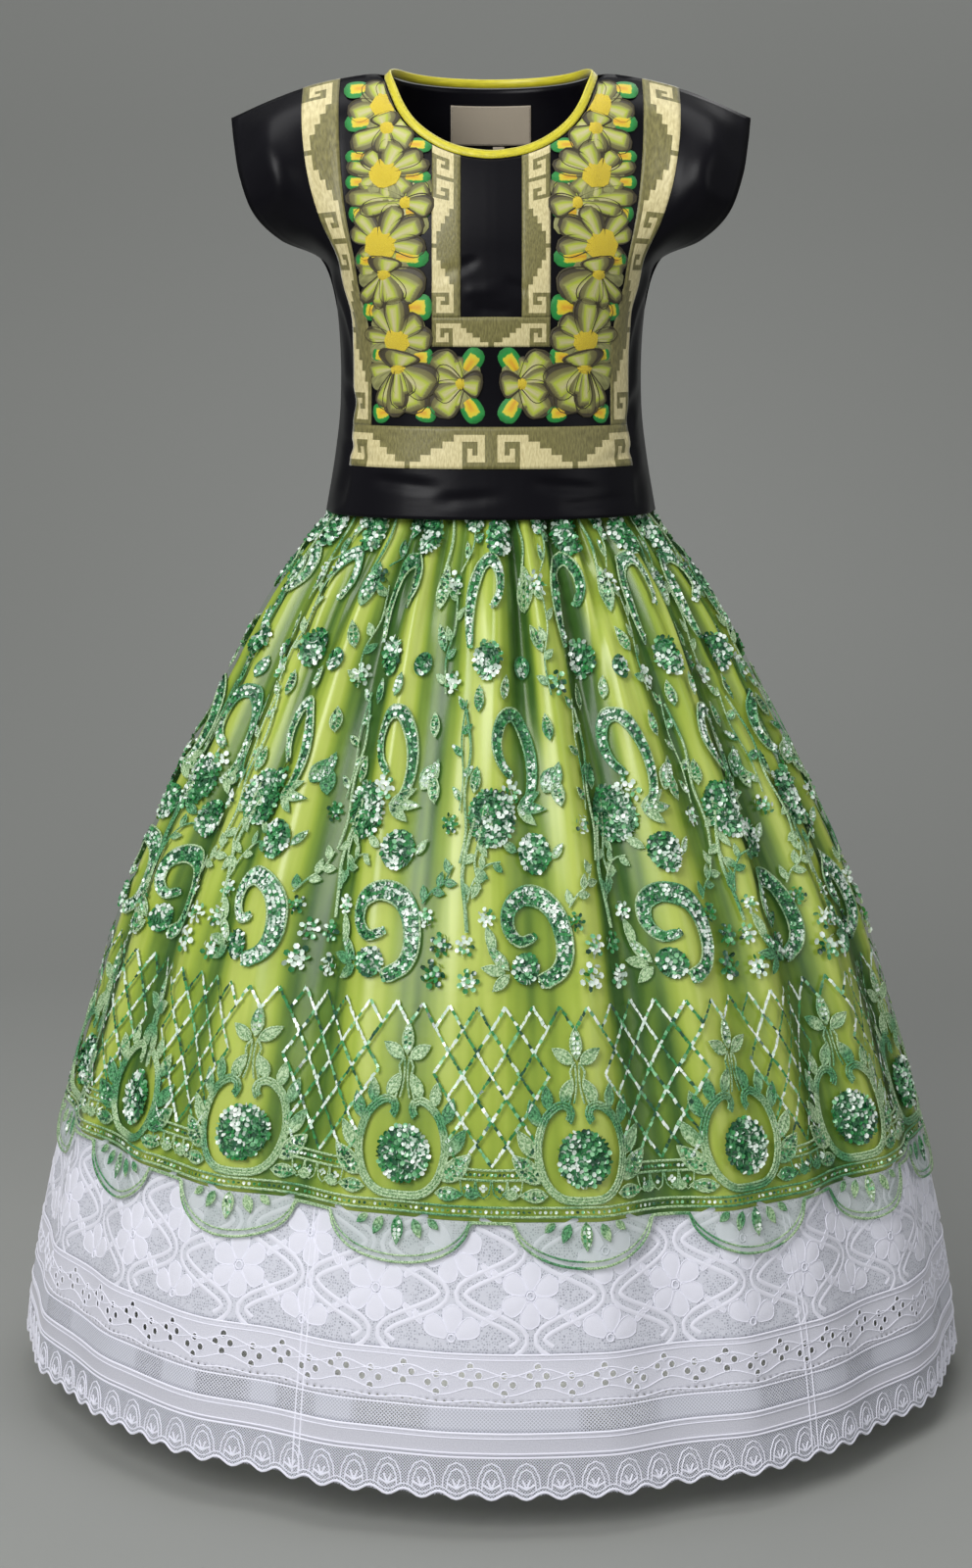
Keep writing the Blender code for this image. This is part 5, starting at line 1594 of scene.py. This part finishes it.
def make_fret_bands(panel):
    threads = [thread("cream_thread", (0.54, 0.46, 0.22), (0.79, 0.70, 0.38), across=700, along=160),
               thread("olive_thread", (0.13, 0.115, 0.035), (0.25, 0.225, 0.075), across=700, along=160)]
    down = FRET_HALF[::-1]
    inner_rows, inner_sizes = chart_rows(FRET_HALF, down[1:], FRET_HOOK)
    outer_rows, outer_sizes = chart_rows(FRET_HALF, down[1:], FRET_HALF[1:], down[1:])
    for side, name in ((-1, "left"), (1, "right")):
        for band, near, far, strip, start, rows, sizes in (
                ("inner", 29, 56, 6.5, 95, inner_rows, inner_sizes),
                ("outer", 115, 133, 3.2, -9, outer_rows, outer_sizes)):
            across = np.concatenate([[near], np.linspace(near + strip, far, 6)])
            up = even_up(panel, side * (near + far) / 2, start, UNDERARM + UPPER_SPAN - 0.6, sizes)
            olive = chart_cells("o" + row[::-1] for row in rows).T
            if side < 0:
                across, olive = -across[::-1], olive[::-1]
            fret_band("fret_%s_%s" % (band, name), panel, across, up, olive, threads,
                      "fret_band_%s_%s" % (band, name))
    for name, node, chart, half_width, low, high, edge in (
            ("fret_bar", "fret_crossbar", (BAR_HALF, BAR_HALF[::-1]), 56, 67, 89, 95),
            ("fret_hem", "fret_hem_band", (HEM_HALF[::-1], HEM_HALF), 133, -49, -16.5, -9)):
        rows, sizes = chart_rows(*chart)
        across = -half_width + 2 * half_width * np.concatenate([[0], np.cumsum(sizes)]) / sum(sizes)
        up = np.concatenate([np.linspace(low, high, 6), [edge]])
        fret_band(name, panel, across, up, chart_cells(row + "o" for row in rows), threads, node)


def make_flowers(panel):
    """The embroidered flowers: leaves below, then each flower's petals, then its centre."""
    gathered = Gathered()
    disc_places, disc_shares, disc_faces = disc(1)

    def lift(z):
        """Near the neck the work lies higher, clear of the panel's bend."""
        return 0.9 * float(blend((z - 200) / 40))

    def sew_pad(side, origin, direction, length, width, curl, outline, low, kind, edged=False):
        places, height, uv = pad(origin, direction, length, width, curl, outline)
        across, up = panel.find(places[..., 0] * side, places[..., 1])
        low = low + lift(origin[1])
        if curl < 0 or curl == 0 and direction < 0:
            uv = uv * (-1, 1) + (1 / MM, 0)
        gathered.add(panel.at(across, up, low + 1.7 * height),
                     grid_faces(places.shape[0], places.shape[1], False, side > 0), uv, kind)
        if edged:
            rim = rim_of(places)
            across, up = panel.find(rim[:, 0] * side, rim[:, 1])
            normals = unit(panel.read(panel.normals, across, up))
            gathered.cord(panel.at(across, up, low + LOW)[None], normals[None], 2.2, 1.5, True, 4)

    for side in (1, -1):
        for x, z, direction, length, width in LEAVES:
            turn = math.radians(direction)
            origin = (x - math.sin(turn) * length / 2, z - math.cos(turn) * length / 2)
            sew_pad(side, origin, direction, length, width, 0, LEAF_OUTLINE, 0.5, 1)
        for number, (x, z, radius, petals) in enumerate(FLOWERS):
            low = 0.6 + 0.25 * (number % 2)
            reach = 0.86 * sum(petal[1] for petal in petals) / len(petals)
            for k in range(UNDER_PETALS):
                turn = math.radians(360 / UNDER_PETALS * k + 9 * number)
                bend = 34 if math.sin(turn) > 0 else -34
                tip = (x + math.sin(turn) * reach, z + math.cos(turn) * reach)
                if -134 < tip[0] < (-56 if x < -50 else -10) and tip[1] > -3:
                    sew_pad(side, (x, z), math.degrees(turn), reach, 19, bend, PETAL_OUTLINE, 0.3, k % 2 * 3)
            for layer, (direction, length, width, curl) in enumerate(petals):
                turn = math.radians(direction)
                start = radius * 0.35
                origin = (x + math.sin(turn) * start, z + math.cos(turn) * start)
                bend = curl or (16 if direction > 0 else -16)
                sew_pad(side, origin, direction, length - start, PETAL_SPREAD * width, bend, PETAL_OUTLINE,
                        low + 0.22 * layer, 0, True)
            at_rim = disc_shares[:, None] == 1
            ragged = disc_places * (1 + 0.22 * at_rim * RNG.random((len(disc_places), 1)))
            across, up = panel.find((x + ragged[:, 0] * radius) * side, z + ragged[:, 1] * radius)
            dome = np.sqrt(1 - 0.9 * disc_shares**2)
            gathered.add(panel.at(across, up, low + 1.3 + 1.4 * dome + lift(z)),
                         disc_faces if side < 0 else disc_faces[:, ::-1], disc_places * radius * 0.02 / MM, 2)
    centre = thread("flower_centres", (0.60, 0.36, 0.01), (0.88, 0.76, 0.04), 0.55, 90, 90, 1)
    # Every other petal of the under ring takes a darker olive: painted shade beneath the top petals.
    under = thread("petals_in_painted_shade", (0.17, 0.17, 0.055), (0.36, 0.36, 0.13), 0.55, 20, 3)
    edging = thread("petal_edging", (0.028, 0.022, 0.008), (0.075, 0.062, 0.024), 0.7, 300, 300, 0.5, 0)
    made = gathered.make("embroidered_flowers", [petal_thread(), leaf_thread(), centre, under, edging])
    place(made, "flower_thread", "flower_band_left", "flower_band_right")


def neck_loop(front, back):
    """Places round the neck's edge with the normal and the way into the neck at each."""
    parts = []
    for panel, across in ((front, np.linspace(-101, 101, 91)), (back, np.linspace(98, -98, 71))):
        up = np.full(len(across), UNDERARM + UPPER_SPAN)
        parts.append((panel.at(across, up, 0), unit(panel.read(panel.normals, across, up))))
    points, normals = (np.concatenate(part) for part in zip(*parts))
    facing = normals
    normals = unit(sum(np.roll(normals, shift, 0) for shift in range(-4, 5)))
    for _ in range(2):
        points = sum(np.roll(points, shift, 0) for shift in range(-2, 3)) / 5
    along = unit(np.roll(points, -1, 0) - np.roll(points, 1, 0))
    inward = unit(np.cross(normals, along))
    to_neck = np.stack([-points[:, 0], -points[:, 1], np.full(len(points), 30)], -1)
    inward = inward * np.sign(np.sum(inward * to_neck, -1, keepdims=True))
    up = unit(np.cross(along, inward))
    return points, up * np.sign(np.sum(up * facing, -1, keepdims=True)), inward


def make_binding(front, back):
    points, up, inward = neck_loop(front, back)
    count, sides = len(points), len(BINDING_SECTION)
    pucker = 0.16 * np.sin(np.arange(count) * 1.9) + 0.1 * np.sin(np.arange(count) * 0.7)
    rings = np.stack([points + inward * away + up * (out + pucker[:, None] * (out > 0))
                      for away, out in BINDING_SECTION], 1)
    faces = [(k * sides + m, k * sides + (m + 1) % sides, (k + 1) % count * sides + (m + 1) % sides,
              (k + 1) % count * sides + m) for k in range(count) for m in range(sides)]
    satin_thread = thread("binding_satin", (0.52, 0.46, 0.015), (0.74, 0.66, 0.03), 0.4, 60, 700, 0.2)
    made = new_object("yellow_binding", rings, faces, [satin_thread],
                      uv=flat_uv(np.arange(count)[:, None] * 3.8, np.arange(sides)[None, :] * 3))
    outward_faces(made)
    place(made, "yellow_binding", "neck_binding")
    stitches = Gathered()
    ends = np.stack([points, points + 0.62 * (np.roll(points, -1, 0) - points)], 1)
    for away, out in ((2.3, 0.85), (8.2, 0.75)):
        stitches.cord(ends + (inward * away + up * out)[:, None], np.repeat(up[:, None], 2, 1), 0.7, 0.45)
    yellow = twisted_thread("yellow_thread", (0.42, 0.38, 0.01), (0.80, 0.74, 0.10))
    place(stitches.make("binding_stitches", [yellow]), "yellow_binding")


def outward_faces(made):
    """Turn a closed mesh's faces outwards."""
    select_only(made)
    bpy.ops.object.mode_set(mode="EDIT")
    bpy.ops.mesh.select_all(action="SELECT")
    bpy.ops.mesh.normals_make_consistent(inside=False)
    bpy.ops.object.mode_set(mode="OBJECT")
    made.select_set(False)


def make_label(back):
    cloth = thread("label_weave", (0.32, 0.27, 0.20), (0.40, 0.345, 0.265), 0.6, 1500, 1500, 0.25)
    across, up = np.meshgrid(np.linspace(-LABEL_HALF, LABEL_HALF, 42), np.linspace(LABEL_LOW, LABEL_HIGH, 18),
                             indexing="ij")
    edge = np.minimum(LABEL_HALF - np.abs(across), np.minimum(up - LABEL_LOW, LABEL_HIGH - up))
    out = -3.05 - 0.15 * blend(edge / 3) - 0.08 * np.sin(across * 0.35 + up * 0.2)
    label = new_object("blank_label", back.at(across, up, out), grid_faces(42, 18, False), [cloth],
                       uv=flat_uv(across, up))
    thicken(label, LABEL_THICKNESS)
    place(label, "label_cloth", "neck_label")
    across = np.linspace(2.2, 13.8, 7)[:, None]
    up, behind = np.array(TAB_FOLD).T[:, None]
    tab = new_object("folded_tab", back.at(across, up, behind - 3.35),
                     grid_faces(7, 8, False, True), [cloth], uv=flat_uv(across, up))
    thicken(tab, TAB_THICKNESS)
    place(tab, "label_cloth", "size_tab")
    stitches = Gathered()
    half, low, high = LABEL_HALF - LABEL_SEAM, LABEL_LOW + LABEL_SEAM, LABEL_HIGH - LABEL_SEAM
    corners = ((-half, low), (half, low), (half, high), (-half, high), (-half, low))
    for path in zip(corners, corners[1:]):
        places = spaced(np.array(path), STITCH_SPACING)
        ends = np.stack([places[:-1], places[:-1] + 0.6 * np.diff(places, axis=0)], 1)
        normals = -unit(back.read(back.normals, ends[..., 0], ends[..., 1]))
        stitches.cord(back.at(ends[..., 0], ends[..., 1], -3.2), normals, 0.5, 0.3)
    grey = twisted_thread("label_thread", (0.16, 0.14, 0.11), (0.36, 0.32, 0.27))
    place(stitches.make("label_stitches", [grey]), "label_cloth")


def make_backdrop():
    """A floor that curves up into a wall, see-through from behind."""
    nodes = Nodes("backdrop", Roughness=0.9)
    shade = nodes.noise(nodes.place(), 0.6, 1)
    nodes.colour(nodes.ramp(shade, (0.3, (0.275, 0.28, 0.265)), (0.7, (0.305, 0.31, 0.295))))
    nodes.cover(nodes.math("SUBTRACT", 1, nodes.add("ShaderNodeNewGeometry").outputs["Backfacing"]))
    floor_level, near, turn, top, radius = -0.985, -7, 1.6, 5.5, 1.4
    profile = [(near, floor_level), (turn, floor_level)]
    for k in range(1, 13):
        angle = math.radians(90 * k / 12)
        profile.append((turn + radius * math.sin(angle), floor_level + radius * (1 - math.cos(angle))))
    profile.append((turn + radius, top))
    points = [(side * 7 / MM, y / MM, z / MM) for side in (-1, 1) for y, z in profile]
    made = new_object("backdrop", points, grid_faces(2, len(profile), False), [nodes.material])


def add_light(name, location, target, size, power, spread=180):
    data = bpy.data.lights.new(name, "AREA")
    data.shape = "RECTANGLE"
    data.size, data.size_y = size
    data.energy = power
    data.spread = math.radians(spread)
    made = bpy.data.objects.new(name, data)
    made.location = location
    x, y, z = np.array(target) - np.array(location)
    made.rotation_euler = (math.atan2(np.hypot(x, y), -z), 0, math.atan2(x, -y) + math.pi)
    bpy.context.scene.collection.objects.link(made)


def make_camera_and_lights():
    camera = bpy.data.cameras.new("camera")
    camera.lens = CAMERA_LENS
    camera.sensor_width = 36
    view = bpy.data.objects.new("camera", camera)
    view.location = CAMERA_PLACE
    view.rotation_euler = (math.radians(90 - CAMERA_TILT), 0, 0)
    bpy.context.scene.collection.objects.link(view)
    bpy.context.scene.camera = view
    for light in LIGHTS:
        add_light(*light)
    world = bpy.data.worlds.new("studio")
    world.use_nodes = True
    background = world.node_tree.nodes["Background"]
    background.inputs[0].default_value = (0.9, 0.92, 0.95, 1)
    background.inputs[1].default_value = 0.36
    bpy.context.scene.world = world
    bpy.context.scene.view_settings.view_transform = "Standard"


def main():
    make_camera_and_lights()
    make_backdrop()
    # The lime satin's colours run from a painted highlight on the ridges to painted shade in the fold
    # troughs.
    lime = satin("lime_satin", 0.28, 0.55, 0.12, (0.95, 1, 0.5), (0.08, (0.62, 0.71, 0.14)),
                 (0.3, (0.46, 0.57, 0.07)), (0.52, (0.34, 0.45, 0.05)), (0.74, (0.18, 0.27, 0.03)),
                 (0.95, (0.05, 0.10, 0.012)))
    black = satin("black_satin", 0.34, 0.14, 0, (0.5, 0.48, 0.6), (0.3, (0.0030, 0.0027, 0.0045)),
                  (0.7, (0.0016, 0.0014, 0.0026)))
    lace = white_cloth("white_lace", 0.63)
    ribbon = white_cloth("white_ribbon", 0.54)
    make_satin(lime)
    make_waistband(lime)
    make_net([net_material("green_net", (0.03, 0.17, 0.03), (0.10, 0.30, 0.07), 0.10, 0.24),
              net_material("mint_net", (0.46, 0.60, 0.48), (0.64, 0.73, 0.64), 0.26, 0.30)])
    make_flounce(lace, ribbon)
    make_net_embroidery()
    front = BlousePanel(FRONT_LINES, FRONT_LEVELS, FRONT_SHARES, True, FRONT_CREASES, 169, 119)
    back = BlousePanel(BACK_LINES, BACK_LEVELS, BACK_SHARES, False, BACK_CREASES, 133, 93)
    make_panel("satin_front", front, black, "blouse_front")
    make_panel("satin_back", back, black, "blouse_back")
    make_fret_bands(front)
    make_flowers(front)
    make_binding(front, back)
    make_label(back)


main()
